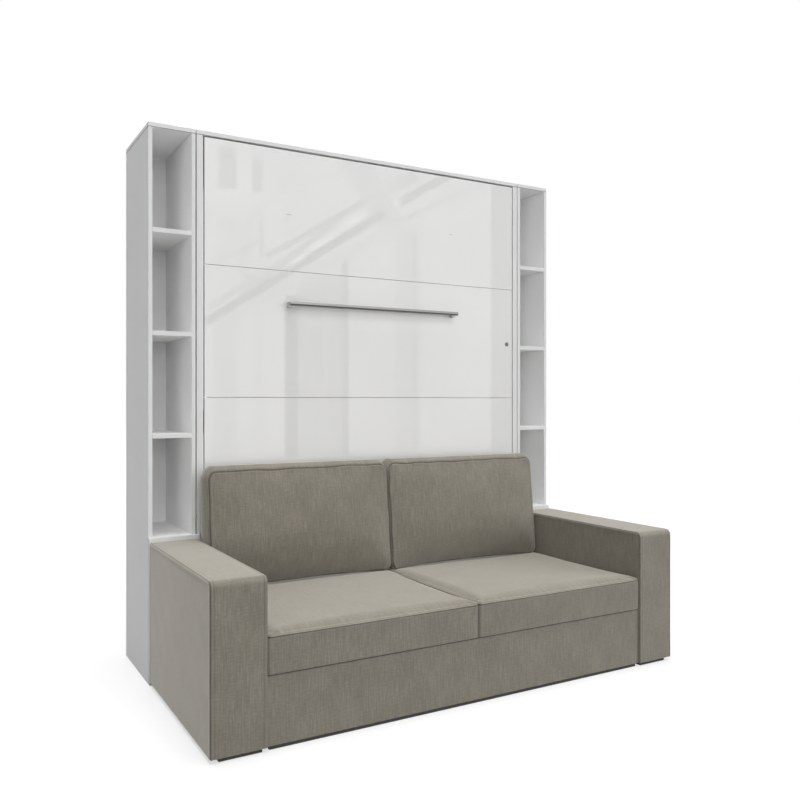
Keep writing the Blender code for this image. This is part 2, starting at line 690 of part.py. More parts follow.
def build_leg():
    """Build the folding leg: the bar that is its foot, and its two arms with their pins."""
    bar_y = (FRONT_Y - BAR_STANDOFF - BAR_DEPTH, FRONT_Y - BAR_STANDOFF)
    bar_z = (BAR_BOTTOM, BAR_BOTTOM + BAR_HEIGHT)
    size = Vector((BAR_LENGTH, BAR_DEPTH, BAR_HEIGHT))
    mesh = block_mesh("leg_foot_bar", size)
    shape = bmesh.new()
    shape.from_mesh(mesh)
    front_low = [
        edge for edge in shape.edges
        if all(vert.co.y < 0 and vert.co.z < 0 for vert in edge.verts)
    ]
    bmesh.ops.bevel(shape, geom=front_low, offset=BAR_CHAMFER, segments=1, affect="EDGES")
    shape.to_mesh(mesh)
    shape.free()
    finish(
        "leg_foot_bar", mesh, Vector((0, sum(bar_y) / 2, sum(bar_z) / 2)), BRUSHED_METAL, LEG_AXIS, BAR_EDGE
    )
    round_end = LEG_ARM_DEPTH / 2
    for label, way in SIDES:
        x = (way * (BAR_LENGTH / 2 - LEG_ARM_WIDTH), way * BAR_LENGTH / 2)
        arm = block(
            f"leg_arm_{label}", x, (FRONT_Y, FRONT_Y + LEG_ARM_DEPTH), (BAR_BOTTOM, LEG_PIN.z),
            BRUSHED_METAL, LEG_AXIS,
        )
        start = Vector((x[0], LEG_PIN.y, LEG_PIN.z))
        stop = Vector((x[1], LEG_PIN.y, LEG_PIN.z))
        join(arm, rod(f"leg_arm_end_{label}", start, stop, round_end, PIN_SEGMENTS))
        bracket = (FRONT_Y - BAR_STANDOFF + CONTACT, FRONT_Y + LEG_ARM_DEPTH / 2)
        join(arm, block(f"leg_bracket_{label}", x, bracket, bar_z))
        reach = Vector((way * LEG_PIN_REACH, 0, 0))
        pin = rod(f"leg_pin_{label}", start - reach, stop + reach, LEG_PIN_RADIUS, PIN_SEGMENTS)
        join(arm, pin)


def build_lock():
    """Build the cylinder lock: rosette with its sleeve, turning plug with its cam, and the keeper."""
    behind = BED_BACK_OF_FRONT + LOCK_SLEEVE_BEHIND
    front = FRONT_Y - LOCK_FLANGE_THICKNESS
    flange_back = LOCK - Vector((0, CONTACT, 0))
    flange_front = Vector((LOCK.x, front, LOCK.z))
    sleeve_back = Vector((LOCK.x, behind, LOCK.z))
    rosette = rod(
        "lock_rosette", flange_front, flange_back, LOCK_FLANGE_RADIUS, BUSH_SEGMENTS, BRUSHED_METAL, BED_AXIS
    )
    inside = LOCK - Vector((0, LOCK_FLANGE_THICKNESS / 2, 0))
    join(rosette, rod("lock_sleeve", inside, sleeve_back, LOCK_SLEEVE_RADIUS, BUSH_SEGMENTS))
    bore = LOCK_PLUG_RADIUS + CONTACT
    overrun = Vector((0, OVERRUN, 0))
    cut(rosette, rod("lock_bore", flange_front - overrun, sleeve_back + overrun, bore, BUSH_SEGMENTS))

    cam_y = (behind + CAM_PLAY, behind + CAM_PLAY + CAM_THICKNESS)
    plug_end = Vector((LOCK.x, cam_y[1], LOCK.z))
    plug = rod(
        "lock_cylinder", flange_front, plug_end, LOCK_PLUG_RADIUS, BUSH_SEGMENTS, BRUSHED_METAL, LOCK_AXIS
    )
    cam_z = (LOCK.z - CAM_WIDTH / 2, LOCK.z + CAM_WIDTH / 2)
    join(plug, block("lock_cam", (LOCK.x, LOCK.x + CAM_LENGTH), cam_y, cam_z))
    slot_x = (LOCK.x - LOCK_KEY_SLOT_WIDTH / 2, LOCK.x + LOCK_KEY_SLOT_WIDTH / 2)
    slot_z = (LOCK.z - LOCK_KEY_SLOT_HEIGHT / 2, LOCK.z + LOCK_KEY_SLOT_HEIGHT / 2)
    cut(plug, block("lock_key_slot", slot_x, (front - OVERRUN, front + LOCK_KEY_SLOT_DEPTH), slot_z))

    keeper_z = (LOCK.z - KEEPER_HEIGHT / 2, LOCK.z + KEEPER_HEIGHT / 2)
    keeper_x = SIDE_INNER_X - CONTACT
    lip_y = (BED_BACK_OF_FRONT + CONTACT * 2, BED_BACK_OF_FRONT + CONTACT * 2 + KEEPER_LIP)
    keeper = block(
        "lock_keeper", (keeper_x - PLATE_THICKNESS, keeper_x), (lip_y[0], lip_y[0] + KEEPER_FOOT), keeper_z,
        ZINC_STEEL,
    )
    lip_x = (LOCK.x + CAM_LENGTH + CAM_PLAY, keeper_x - PLATE_THICKNESS / 2)
    join(keeper, block("lock_keeper_lip", lip_x, lip_y, keeper_z))


def build_sofa_frame():
    """Build the sofa's arms, boards behind them, rails, platform, glides and plinth."""
    for label, way in SIDES:
        x = (way * ARM_INNER_X, way * HALF_WIDTH)
        y = (SOFA_FRONT_Y, SOFA_BACK_Y - CONTACT)
        z = (FLOOR_GAP, ARM_HEIGHT)
        size = Vector((HALF_WIDTH - ARM_INNER_X, y[1] - y[0], z[1] - z[0]))
        mesh = block_mesh(f"sofa_arm_{label}", size)
        shape = bmesh.new()
        shape.from_mesh(mesh)
        front_top = [
            edge for edge in shape.edges
            if all(vert.co.y < 0 < vert.co.z for vert in edge.verts)
        ]
        bmesh.ops.bevel(
            shape, geom=front_top, offset=ARM_FRONT_ROUNDING, segments=ARM_FRONT_SEGMENTS,
            affect="EDGES", profile=ROUND_PROFILE_SHARE,
        )
        shape.to_mesh(mesh)
        shape.free()
        centre = Vector((sum(x) / 2, sum(y) / 2, sum(z) / 2))
        finish(
            f"sofa_arm_{label}", mesh, centre, GREIGE_FABRIC, None, ARM_EDGE_ROUNDING, ARM_EDGE_SEGMENTS
        )
        block(
            f"arm_back_board_{label}", (way * BACK_BOARD_INNER_X, way * HALF_WIDTH),
            (SOFA_BACK_Y, FRONT_Y - CONTACT), (0, BASE_SHELF_TOP), WHITE_BOARD, edge=BOARD_EDGE,
        )
        block(
            f"arm_glide_{label}",
            (way * (ARM_INNER_X + GLIDE_INSET), way * (HALF_WIDTH - GLIDE_OUTER_INSET)),
            (SOFA_FRONT_Y + GLIDE_INSET, SOFA_BACK_Y - GLIDE_INSET), (0, FLOOR_GAP - CONTACT), BLACK_PLASTIC,
        )
    half = ARM_INNER_X - CONTACT * 2
    rail_y = (SOFA_FRONT_Y + FRONT_RAIL_SETBACK, SOFA_FRONT_Y + FRONT_RAIL_SETBACK + FRONT_RAIL_THICKNESS)
    block(
        "sofa_front_rail", both(half), rail_y, (FLOOR_GAP, SOFA_RAIL_TOP), GREIGE_FABRIC, None,
        FRONT_RAIL_ROUNDING, RAIL_EDGE_SEGMENTS,
    )
    plinth_y = (rail_y[0] + PLINTH_SETBACK, rail_y[1] - PLINTH_SETBACK)
    block("front_plinth", both(half - GLIDE_INSET), plinth_y, (0, FLOOR_GAP - CONTACT), BLACK_PLASTIC)
    rear_y = (SOFA_BACK_Y - CONTACT * 4 - CARCASS_BOARD, SOFA_BACK_Y - CONTACT * 4)
    block("sofa_rear_rail", both(half), rear_y, (0, SOFA_RAIL_TOP), WHITE_BOARD)
    block(
        "seat_platform", both(half), (rail_y[1] + CONTACT, rear_y[0] - CONTACT),
        (SOFA_RAIL_TOP - PLATFORM_BOARD, SOFA_RAIL_TOP), BIRCH,
    )


def build_seat_cushion(label, way):
    """Build one seat cushion: crowned where one sits, flat under the back cushion, sides drawn in."""
    x = sorted((way * CUSHION_MIDDLE_GAP, way * CUSHION_OUTER_X))
    y = (SOFA_FRONT_Y + SEAT_SETBACK, CUSHION_BACK_Y)
    z = (SOFA_RAIL_TOP + CONTACT, SEAT_TOP)
    exposed = (y[0], CUSHION_FRONT_Y - BACK_CUSHION_ROUNDING)
    middle_z = sum(z) / 2

    def form(point):
        top = point.z > middle_z
        crown = SEAT_CROWN * bulge(point.x, *x) * bulge(point.y, *exposed) if top else 0.0
        waist = CUSHION_DRAW_IN * bulge(point.x, *x) * bulge(point.z, *z) / 2
        inward = waist if point.y < exposed[0] + SEAT_ROUNDING / 2 else 0.0
        return point.x, point.y + inward, point.z + crown

    inner = [exposed[0] + (exposed[1] - exposed[0]) * share for share in SEAT_DEPTH_SHARES]
    cuts = (
        loops(*x, SEAT_ROUNDING, SEAT_WIDTH_SHARES),
        [y[0] + SEAT_ROUNDING, *inner, CUSHION_FRONT_Y, y[1] - SEAT_ROUNDING],
        loops(*z, SEAT_ROUNDING),
    )
    soft_block(f"seat_cushion_{label}", x, y, z, GREIGE_FABRIC, cuts, form)


def build_back_cushion(label, way):
    """Build one back cushion: a fat pad with round corners, thicker at its foot, standing on the seat.

    Its front leans back by BACK_CUSHION_LEAN from the foot to the top, and the crown lies on that slope, so
    the two together reach CUSHION_REACH forward at most.
    """
    x = sorted((way * CUSHION_MIDDLE_GAP, way * CUSHION_OUTER_X))
    y = (CUSHION_BACK_Y - BACK_CUSHION_THICKNESS, CUSHION_BACK_Y)
    z = (SEAT_TOP + CONTACT, SEAT_TOP + CONTACT + BACK_CUSHION_HEIGHT)
    middle_x = sum(x) / 2
    middle_z = sum(z) / 2

    def form(point):
        crown = BACK_CUSHION_CROWN * bulge(point.x, *x) * bulge(point.z, *z)
        lean = BACK_CUSHION_LEAN * (z[1] - point.z) / (z[1] - z[0]) * (y[1] - point.y) / (y[1] - y[0])
        forward = lean + (crown if point.y < y[0] + CONTACT else 0.0)
        draw_x = CUSHION_DRAW_IN * bulge(point.z, *z) * (1 if point.x > middle_x else -1)
        on_side = abs(point.x - middle_x) > (x[1] - x[0]) / 2 - CONTACT
        draw_z = CUSHION_DRAW_IN * bulge(point.x, *x)
        on_top = point.z > z[1] - CONTACT
        return (
            point.x - (draw_x if on_side else 0.0),
            point.y - forward,
            point.z - (draw_z if on_top else 0.0),
        )

    cuts = (
        loops(*x, BACK_CUSHION_ROUNDING, BACK_WIDTH_SHARES),
        loops(*y, BACK_CUSHION_ROUNDING / 2),
        loops(*z, BACK_CUSHION_ROUNDING, BACK_HEIGHT_SHARES),
    )
    soft_block(f"back_cushion_{label}", x, y, z, GREIGE_FABRIC, cuts, form, CUSHION_EMPTY)


build_cabinet()
build_front_boards()
build_bed_frame()
build_leg()
build_lock()
build_sofa_frame()
for side_name, side_way in SIDES:
    build_column(side_name, side_way)
    build_hinge_plates(side_name, side_way)
    build_strut(side_name, side_way)
    build_seat_cushion(side_name, side_way)
    build_back_cushion(side_name, side_way)
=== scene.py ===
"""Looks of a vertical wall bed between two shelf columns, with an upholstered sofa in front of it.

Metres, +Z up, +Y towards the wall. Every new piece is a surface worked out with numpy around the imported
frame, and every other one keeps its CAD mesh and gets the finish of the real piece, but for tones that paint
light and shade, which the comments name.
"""

import logging
from dataclasses import dataclass
from enum import Enum
from math import cos, pi, radians, sin
from typing import Callable, Mapping, Sequence

import bpy
import numpy as np
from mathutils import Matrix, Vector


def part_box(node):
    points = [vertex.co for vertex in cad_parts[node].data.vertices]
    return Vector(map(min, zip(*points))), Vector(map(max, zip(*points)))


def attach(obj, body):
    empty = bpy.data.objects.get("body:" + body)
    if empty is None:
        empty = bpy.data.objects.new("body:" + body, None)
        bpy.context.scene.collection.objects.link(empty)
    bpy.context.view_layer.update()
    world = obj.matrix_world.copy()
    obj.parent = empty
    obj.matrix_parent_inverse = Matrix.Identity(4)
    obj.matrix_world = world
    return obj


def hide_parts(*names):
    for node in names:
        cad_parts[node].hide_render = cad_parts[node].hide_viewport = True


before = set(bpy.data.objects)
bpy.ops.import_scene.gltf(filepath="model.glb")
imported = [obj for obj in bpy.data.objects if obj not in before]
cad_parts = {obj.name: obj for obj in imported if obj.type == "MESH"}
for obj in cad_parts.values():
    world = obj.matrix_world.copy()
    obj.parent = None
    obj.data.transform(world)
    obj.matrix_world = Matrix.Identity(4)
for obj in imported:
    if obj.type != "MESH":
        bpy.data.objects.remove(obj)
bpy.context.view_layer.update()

MM = 0.001
TINY = 1e-9
LOG = logging.getLogger("wall_bed")

Array = np.ndarray
Material = bpy.types.Material
Mesh = bpy.types.Mesh
Node = bpy.types.Node
Object = bpy.types.Object
Socket = bpy.types.NodeSocket
Tree = bpy.types.NodeTree


class Body(str, Enum):
    """The bodies of the frame that new pieces ride on."""

    CABINET = "cabinet"
    BED = "bed"
    LEG = "folding_leg"
    BACKS = "back_cushions"


class Slot(str, Enum):
    """The names of the record's material slots for the cloth, the ticking and the metal."""

    CLOTH = "greige_fabric"
    TICKING = "mattress_ticking"
    METAL = "brushed_metal"


class Axis(int, Enum):
    """A direction of the frame, as an index into a point."""

    X = 0
    Y = 1
    Z = 2


def linear(colour: str) -> tuple[float, float, float, float]:
    """Turn an sRGB hex colour to linear light.

    Args:
        colour: six hex digits after a hash.

    Returns:
        Red, green, blue and an alpha of 1.
    """
    shares = [int(colour[place:place + 2], 16) / 255 for place in (1, 3, 5)]
    light = [share / 12.92 if share <= 0.04045 else ((share + 0.055) / 1.055) ** 2.4 for share in shares]
    return (light[0], light[1], light[2], 1.0)


def add_node(
    tree: Tree,
    kind: str,
    inputs: Mapping[str | int, object] | None = None,
    stops: Sequence[tuple[float, str]] = (),
    **settings: object,
) -> Node:
    """Add a node with its settings, and set or link its inputs.

    Args:
        tree: the node tree.
        kind: the node's type name, without "ShaderNode" in front.
        inputs: values by socket; a socket or a node given as a value is linked.
        stops: places and hex colours of a colour ramp, two or more.
        settings: the node's own properties.

    Returns:
        The new node.
    """
    node = tree.nodes.new("ShaderNode" + kind)
    for name, value in settings.items():
        setattr(node, name, value)
    for name, value in (inputs or {}).items():
        if isinstance(value, Node):
            value = value.outputs[0]
        if isinstance(value, Socket):
            tree.links.new(value, node.inputs[name])
        else:
            node.inputs[name].default_value = value
    if stops:
        elements = node.color_ramp.elements
        while len(elements) < len(stops):
            elements.new(0.5)
        for element, (place, colour) in zip(elements, stops):
            element.position = place
            element.color = linear(colour)
    return node


def new_material(name: str, shader_values: Mapping[str, object]) -> tuple[Material, Node]:
    """Make a material that holds a Principled shader.

    Args:
        name: the finish in plain words.
        shader_values: values by the shader's socket.

    Returns:
        The material and its shader node.
    """
    material = bpy.data.materials.new(name)
    material.use_nodes = True
    shader = material.node_tree.nodes["Principled BSDF"]
    for socket, value in shader_values.items():
        shader.inputs[socket].default_value = value
    return material, shader


@dataclass(frozen=True)
class Yarn:
    """One layer of a cloth's unevenness: noise on the cloth's own coordinates.

    Attributes:
        width_mm: size of its marks across the warp.
        length_mm: their size along it.
        detail: how much finer noise lies on them.
        roughness: how strong that finer noise is.
        share: the layer's part of the cloth's tone.
    """

    width_mm: float
    length_mm: float
    detail: float
    roughness: float
    share: float


@dataclass(frozen=True)
class WovenCloth:
    """Linen-look upholstery cloth, woven plain from uneven yarn.

    It is matt with a little sheen from loose fibres, and thick places in its warp show as long faint streaks.
    The real threads are about 0.8 mm apart, too fine to show, so they are drawn at 2.2 mm.

    Attributes:
        name: the finish in plain words.
        dark: colour of the thin places.
        middle: the cloth's colour.
        light: colour of the thick places.
        seam_shade: colour painted deep in a seam for the shade in its crease, and along the seat cushions'
            foot and the rail's top for the shade there.
        streaks: the warp's thick and thin places.
        cross: the weft's.
        patches: slow changes over a panel.
        threads: the weave itself.
        seam_shade_share: how much of a seam, or of those shaded edges, the painted shade covers.
        nap: how much of the relief is the weave's own, beside the tone's.
    """

    name: str = "woven_linen_look_cloth"
    dark: str = "#706B60"
    middle: str = "#7A756A"
    light: str = "#868175"
    seam_shade: str = "#2A2824"
    streaks: Yarn = Yarn(width_mm=5.0, length_mm=70.0, detail=3.0, roughness=0.62, share=0.42)
    cross: Yarn = Yarn(width_mm=70.0 / 3, length_mm=5.0, detail=2.0, roughness=0.5, share=0.22)
    patches: Yarn = Yarn(width_mm=1000.0 / 9, length_mm=1000.0 / 9, detail=2.0, roughness=0.5, share=0.18)
    threads: Yarn = Yarn(width_mm=2.2, length_mm=2.2, detail=1.0, roughness=0.5, share=0.18)
    seam_shade_share: float = 0.85
    nap: float = 1.2

    def material(self) -> Material:
        """Build the material; the cloth's own coordinates are metres along and across its warp.

        Returns:
            The cloth.
        """
        material, shader = new_material(
            self.name,
            {"Roughness": 0.92, "Specular IOR Level": 0.25, "Sheen Weight": 0.8, "Sheen Roughness": 0.5,
             "Sheen Tint": linear("#FCF7EE")},
        )
        tree = material.node_tree
        cloth = add_node(tree, "UVMap", uv_map="cloth")
        tone: Node | float = 0.0
        for yarn in (self.streaks, self.cross, self.patches, self.threads):
            scale = (1 / (yarn.width_mm * MM), 1 / (yarn.length_mm * MM), 1.0)
            drawn = add_node(tree, "Mapping", {"Vector": cloth, "Scale": scale})
            noise = add_node(
                tree, "TexNoise",
                {"Vector": drawn, "Scale": 1.0, "Detail": yarn.detail, "Roughness": yarn.roughness},
                noise_dimensions="2D",
            )
            tone = add_node(
                tree, "Math", {0: noise.outputs["Fac"], 1: yarn.share, 2: tone}, operation="MULTIPLY_ADD"
            )
        stops = ((0.38, self.dark), (0.5, self.middle), (0.62, self.light))
        colour = add_node(tree, "ValToRGB", {"Fac": tone}, stops=stops)
        # Painted shade: where the mesh's seam attribute is set, in seam creases and along shaded edges, the
        # colour turns dark.
        seam = add_node(tree, "Attribute", attribute_name="seam")
        shade = add_node(tree, "Math", {0: seam.outputs["Fac"], 1: self.seam_shade_share}, operation="MULTIPLY")
        stitched = add_node(tree, "Mix", {0: shade, 6: colour, 7: linear(self.seam_shade)}, data_type="RGBA")
        tree.links.new(stitched.outputs[2], shader.inputs["Base Color"])
        # The last noise is the threads' own.
        relief = add_node(
            tree, "Math", {0: noise.outputs["Fac"], 1: self.nap, 2: tone}, operation="MULTIPLY_ADD"
        )
        bump = add_node(tree, "Bump", {"Height": relief, "Strength": 0.22, "Distance": 0.6 * MM})
        tree.links.new(bump.outputs[0], shader.inputs["Normal"])
        return material


@dataclass(frozen=True)
class KnittedTicking:
    """Off-white knitted mattress ticking: soft and matt, its fine knit drawn at 3 mm, twice its real pitch.

    Attributes:
        name: the finish in plain words.
        dark: colour between the loops.
        light: colour of the loops.
        groove: colour painted deep in a sewn groove, for the shade that falls in it.
        groove_shade_share: how much of a groove that painted shade covers.
        knit_mm: distance between loops.
    """

    name: str = "knitted_mattress_ticking"
    dark: str = "#DAD8D1"
    light: str = "#E9E8E3"
    groove: str = "#8C8880"
    groove_shade_share: float = 0.35
    knit_mm: float = 3.0

    def material(self) -> Material:
        """Build the material from the cloth's own coordinates.

        Returns:
            The ticking.
        """
        material, shader = new_material(
            self.name,
            {"Roughness": 0.9, "Specular IOR Level": 0.3, "Sheen Weight": 0.2, "Sheen Roughness": 0.4},
        )
        tree = material.node_tree
        cloth = add_node(tree, "UVMap", uv_map="cloth")
        knit = add_node(tree, "Mapping", {"Vector": cloth, "Scale": (1 / (self.knit_mm * MM),) * 3})
        loops = add_node(tree, "TexVoronoi", {"Vector": knit, "Scale": 1.0}, voronoi_dimensions="2D")
        patches = add_node(
            tree, "TexNoise", {"Vector": cloth, "Scale": 14.0, "Detail": 3.0}, noise_dimensions="2D"
        )
        tone = add_node(
            tree, "Math", {0: loops.outputs["Distance"], 1: -0.5, 2: patches.outputs["Fac"]},
            operation="MULTIPLY_ADD",
        )
        colour = add_node(tree, "ValToRGB", {"Fac": tone}, stops=((0.1, self.dark), (0.6, self.light)))
        # Painted shade: the seam attribute darkens the grooves beside the mattress's cords.
        seam = add_node(tree, "Attribute", attribute_name="seam")
        shade = add_node(
            tree, "Math", {0: seam.outputs["Fac"], 1: self.groove_shade_share}, operation="MULTIPLY"
        )
        stitched = add_node(tree, "Mix", {0: shade, 6: colour, 7: linear(self.groove)}, data_type="RGBA")
        tree.links.new(stitched.outputs[2], shader.inputs["Base Color"])
        bump = add_node(
            tree, "Bump", {"Height": loops.outputs["Distance"], "Strength": 0.4, "Distance": 0.6 * MM}
        )
        bump.invert = True
        tree.links.new(bump.outputs[0], shader.inputs["Normal"])
        return material


@dataclass(frozen=True)
class MelamineBoard:
    """Melamine-faced chipboard, pressed against a fine-grained plate: matt, faintly pearled, almost even.

    The real pearl is 0.4 mm across, drawn at 2 mm. The front edges, ahead of front_y, and the outer faces,
    beyond outer_x, have their own tone, and the joint under the top boards is a fine line just above joint_z.
    Where the faces are lighter than the edges and the outer faces, as in the columns, that difference is
    painted light.

    Attributes:
        name: the finish in plain words.
        dark: the darker of the face's two tones.
        light: the lighter one.
        roughness: the face's middle roughness.
        specular: the face's reflectance.
        pearl_mm: size of the pearl's grains.
        edge: colour of the edge band, or nothing where the board is alike all over.
        outer: colour of the outer face, or nothing where it is the edge band's.
        groove: colour of the joint.
        front_y: where the boards' front edges lie.
        outer_x: where the outer faces lie, to each side.
        joint_z: where the undersides of the top boards lie.
        skin_mm: how far behind a face its own tone reaches.
        groove_up_mm: how far the joint's line lies above joint_z.
        groove_half_mm: half its height.
    """

    name: str = "matt_white_melamine_board"
    dark: str = "#DFE0DF"
    light: str = "#E4E4E4"
    roughness: float = 0.6
    specular: float = 0.2
    pearl_mm: float = 2.0
    edge: str = ""
    outer: str = ""
    groove: str = "#7C7D7C"
    front_y: float = 0.0
    outer_x: float = 9.0
    joint_z: float = 0.0
    skin_mm: float = 0.9
    groove_up_mm: float = 1.4
    groove_half_mm: float = 1.2

    def material(self) -> Material:
        """Build the material from the piece's own place.

        Returns:
            The board's finish.
        """
        material, shader = new_material(self.name, {"Specular IOR Level": self.specular})
        tree = material.node_tree
        place = add_node(tree, "TexCoord").outputs["Object"]
        pearl = add_node(
            tree, "TexNoise", {"Vector": place, "Scale": 1 / (self.pearl_mm * MM), "Detail": 2.0}
        )
        cloud = add_node(tree, "TexNoise", {"Vector": place, "Scale": 2.2, "Detail": 3.0})
        tone = add_node(
            tree, "Math", {0: pearl.outputs["Fac"], 1: 0.25, 2: cloud.outputs["Fac"]},
            operation="MULTIPLY_ADD",
        )
        colour = add_node(tree, "ValToRGB", {"Fac": tone}, stops=((0.4, self.dark), (0.85, self.light)))
        base = self.band(tree, place, colour.outputs[0]) if self.edge else colour.outputs[0]
        tree.links.new(base, shader.inputs["Base Color"])
        gloss = add_node(
            tree, "MapRange",
            {"Value": cloud.outputs["Fac"], "To Min": self.roughness - 0.04, "To Max": self.roughness + 0.05},
        )
        tree.links.new(gloss.outputs[0], shader.inputs["Roughness"])
        bump = add_node(
            tree, "Bump", {"Height": pearl.outputs["Fac"], "Strength": 0.12, "Distance": 0.2 * MM}
        )
        tree.links.new(bump.outputs[0], shader.inputs["Normal"])
        return material

    def band(self, tree: Tree, place: Socket, face: Socket) -> Socket:
        """Lay the tones of the outer faces, the edge bands and the joint over the face's own.

        Args:
            tree: the node tree.
            place: the piece's own place.
            face: the face's colour.

        Returns:
            The colour.
        """
        split = add_node(tree, "SeparateXYZ", {0: place})
        side = add_node(tree, "Math", {0: split.outputs["X"]}, operation="ABSOLUTE")
        skin = self.skin_mm * MM
        line = {
            0: split.outputs["Z"], 1: self.joint_z + self.groove_up_mm * MM, 2: self.groove_half_mm * MM
        }
        layers = (
            ({0: side, 1: self.outer_x - skin}, "GREATER_THAN", self.outer or self.edge),
            ({0: split.outputs["Y"], 1: self.front_y + skin}, "LESS_THAN", self.edge),
            (line, "COMPARE", self.groove),
        )
        for inputs, operation, tone in layers:
            within = add_node(tree, "Math", inputs, operation=operation)
            face = add_node(tree, "Mix", {0: within, 6: face, 7: linear(tone)}, data_type="RGBA").outputs[2]
        return face


@dataclass(frozen=True)
class GlossBoard:
    """White high-gloss board, faced with a polished acrylic sheet: it mirrors the room, a little wavily.

    The waves of such a sheet are 30 to 60 mm long and a few hundredths of a millimetre high.

    Attributes:
        name: the finish in plain words.
        dark: the darker of its two tones.
        light: the lighter one.
        metal: colour of the metal part.
        groove: colour of the groove.
        polish: roughness of the face.
        satin: roughness of the metal part.
        wave_mm: length of the sheet's waves.
        metal_ahead_of: where the metal part starts, towards the front, or None where there is none.
        groove_at: the groove's height.
        groove_half_mm: half its own height.
    """

    name: str = "high_gloss_white_board"
    dark: str = "#E4E4E3"
    light: str = "#E7E7E6"
    metal: str = "#B9B9B7"
    groove: str = "#8E8E8C"
    polish: float = 0.02
    satin: float = 0.34
    wave_mm: float = 45.0
    metal_ahead_of: float | None = None
    groove_at: float = 0.0
    groove_half_mm: float = 0.9

    def material(self) -> Material:
        """Build the material.

        Where metal_ahead_of is set, what stands ahead of that place in Y is satin metal, and a fine groove
        crosses the rest at the height groove_at, in line with the seam between the boards.

        Returns:
            The board's finish.
        """
        material, shader = new_material(self.name, {"Roughness": self.polish, "Specular IOR Level": 1.0})
        tree = material.node_tree
        place = add_node(tree, "TexCoord").outputs["Object"]
        cloud = add_node(tree, "TexNoise", {"Vector": place, "Scale": 1.7, "Detail": 2.0})
        stops = ((0.35, self.dark), (0.65, self.light))
        colour = add_node(tree, "ValToRGB", {"Fac": cloud.outputs["Fac"]}, stops=stops)
        waves = add_node(
            tree, "TexNoise", {"Vector": place, "Scale": 1 / (self.wave_mm * MM), "Detail": 1.0}
        )
        bump = add_node(
            tree, "Bump", {"Height": waves.outputs["Fac"], "Strength": 0.12, "Distance": 0.06 * MM}
        )
        tree.links.new(bump.outputs[0], shader.inputs["Normal"])
        tree.links.new(colour.outputs[0], shader.inputs["Base Color"])
        if self.metal_ahead_of is not None:
            split = add_node(tree, "SeparateXYZ", {0: place})
            ahead = add_node(
                tree, "Math", {0: split.outputs["Y"], 1: self.metal_ahead_of}, operation="LESS_THAN"
            )
            line = add_node(
                tree, "Math", {0: split.outputs["Z"], 1: self.groove_at, 2: self.groove_half_mm * MM},
                operation="COMPARE",
            )
            lined = add_node(tree, "Mix", {0: line, 6: colour, 7: linear(self.groove)}, data_type="RGBA")
            mixed = add_node(
                tree, "Mix", {0: ahead, 6: lined.outputs[2], 7: linear(self.metal)}, data_type="RGBA"
            )
            rough = add_node(tree, "MapRange", {"Value": ahead, "To Min": self.polish, "To Max": self.satin})
            tree.links.new(mixed.outputs[2], shader.inputs["Base Color"])
            tree.links.new(rough.outputs[0], shader.inputs["Roughness"])
            tree.links.new(ahead.outputs[0], shader.inputs["Metallic"])
        return material


@dataclass(frozen=True)
class Grain:
    """A finish whose one fine noise sets its tone, its roughness and its relief together.

    Attributes:
        dark: the darker of its two tones.
        light: the lighter one.
        roughness: its middle roughness.
        sizes_mm: size of the noise's marks along X, Y and Z.
        detail: how much finer noise lies on them.
        fineness: how strong that finer noise is.
        change: how far the roughness strays to each side.
        strength: how strong the relief is.
        height_mm: how high it is.
    """

    dark: str
    light: str
    roughness: float
    sizes_mm: tuple[float, float, float]
    detail: float
    fineness: float
    change: float
    strength: float
    height_mm: float

    def dress(self, material: Material, shader: Node) -> None:
        """Lay the grain on a material, from the piece's own place.

        Args:
            material: the material.
            shader: its shader node.
        """
        tree = material.node_tree
        scale = tuple(1 / (size * MM) for size in self.sizes_mm)
        place = add_node(tree, "TexCoord").outputs["Object"]
        drawn = add_node(tree, "Mapping", {"Vector": place, "Scale": scale})
        grain = add_node(
            tree, "TexNoise",
            {"Vector": drawn, "Scale": 1.0, "Detail": self.detail, "Roughness": self.fineness},
        ).outputs["Fac"]
        colour = add_node(tree, "ValToRGB", {"Fac": grain}, stops=((0.3, self.dark), (0.7, self.light)))
        tree.links.new(colour.outputs[0], shader.inputs["Base Color"])
        low, high = self.roughness - self.change, self.roughness + self.change
        rough = add_node(tree, "MapRange", {"Value": grain, "To Min": low, "To Max": high})
        tree.links.new(rough.outputs[0], shader.inputs["Roughness"])
        bump = add_node(
            tree, "Bump", {"Height": grain, "Strength": self.strength, "Distance": self.height_mm * MM}
        )
        tree.links.new(bump.outputs[0], shader.inputs["Normal"])


@dataclass(frozen=True)
class BrushedMetal:
    """Bare or plated metal with a brushed, drawn or tumbled surface.

    Its fine marks are drawn 1 to 5 mm wide, where real ones are a tenth of that or less. Where their sizes
    differ, they are scratches along the axis of the largest.

    Attributes:
        name: the finish in plain words.
        dark: the darker of its two tones.
        light: the lighter one.
        roughness: its middle roughness.
        scratch_mm: size of the scratches along X, Y and Z.
    """

    name: str
    dark: str
    light: str
    roughness: float
    scratch_mm: tuple[float, float, float]

    def material(self) -> Material:
        """Build the material.

        Returns:
            The metal.
        """
        material, shader = new_material(self.name, {"Metallic": 1.0})
        grain = Grain(
            self.dark, self.light, self.roughness, self.scratch_mm,
            detail=4.0, fineness=0.6, change=0.07, strength=0.1, height_mm=0.05,
        )
        grain.dress(material, shader)
        return material


@dataclass(frozen=True)
class DarkCoat:
    """Moulded plastic, rubber or paint on steel: dark, with the fine peel that spraying or moulding leaves.

    Attributes:
        name: the finish in plain words.
        dark: the darker of its two tones.
        light: the lighter one.
        roughness: its middle roughness.
        grain_mm: size of the peel.
    """

    name: str
    dark: str
    light: str
    roughness: float
    grain_mm: float

    def material(self) -> Material:
        """Build the material.

        Returns:
            The coat.
        """
        material, shader = new_material(self.name, {"Specular IOR Level": 0.45})
        grain = Grain(
            self.dark, self.light, self.roughness, (self.grain_mm,) * 3,
            detail=2.0, fineness=0.5, change=0.06, strength=0.25, height_mm=0.2,
        )
        grain.dress(material, shader)
        return material


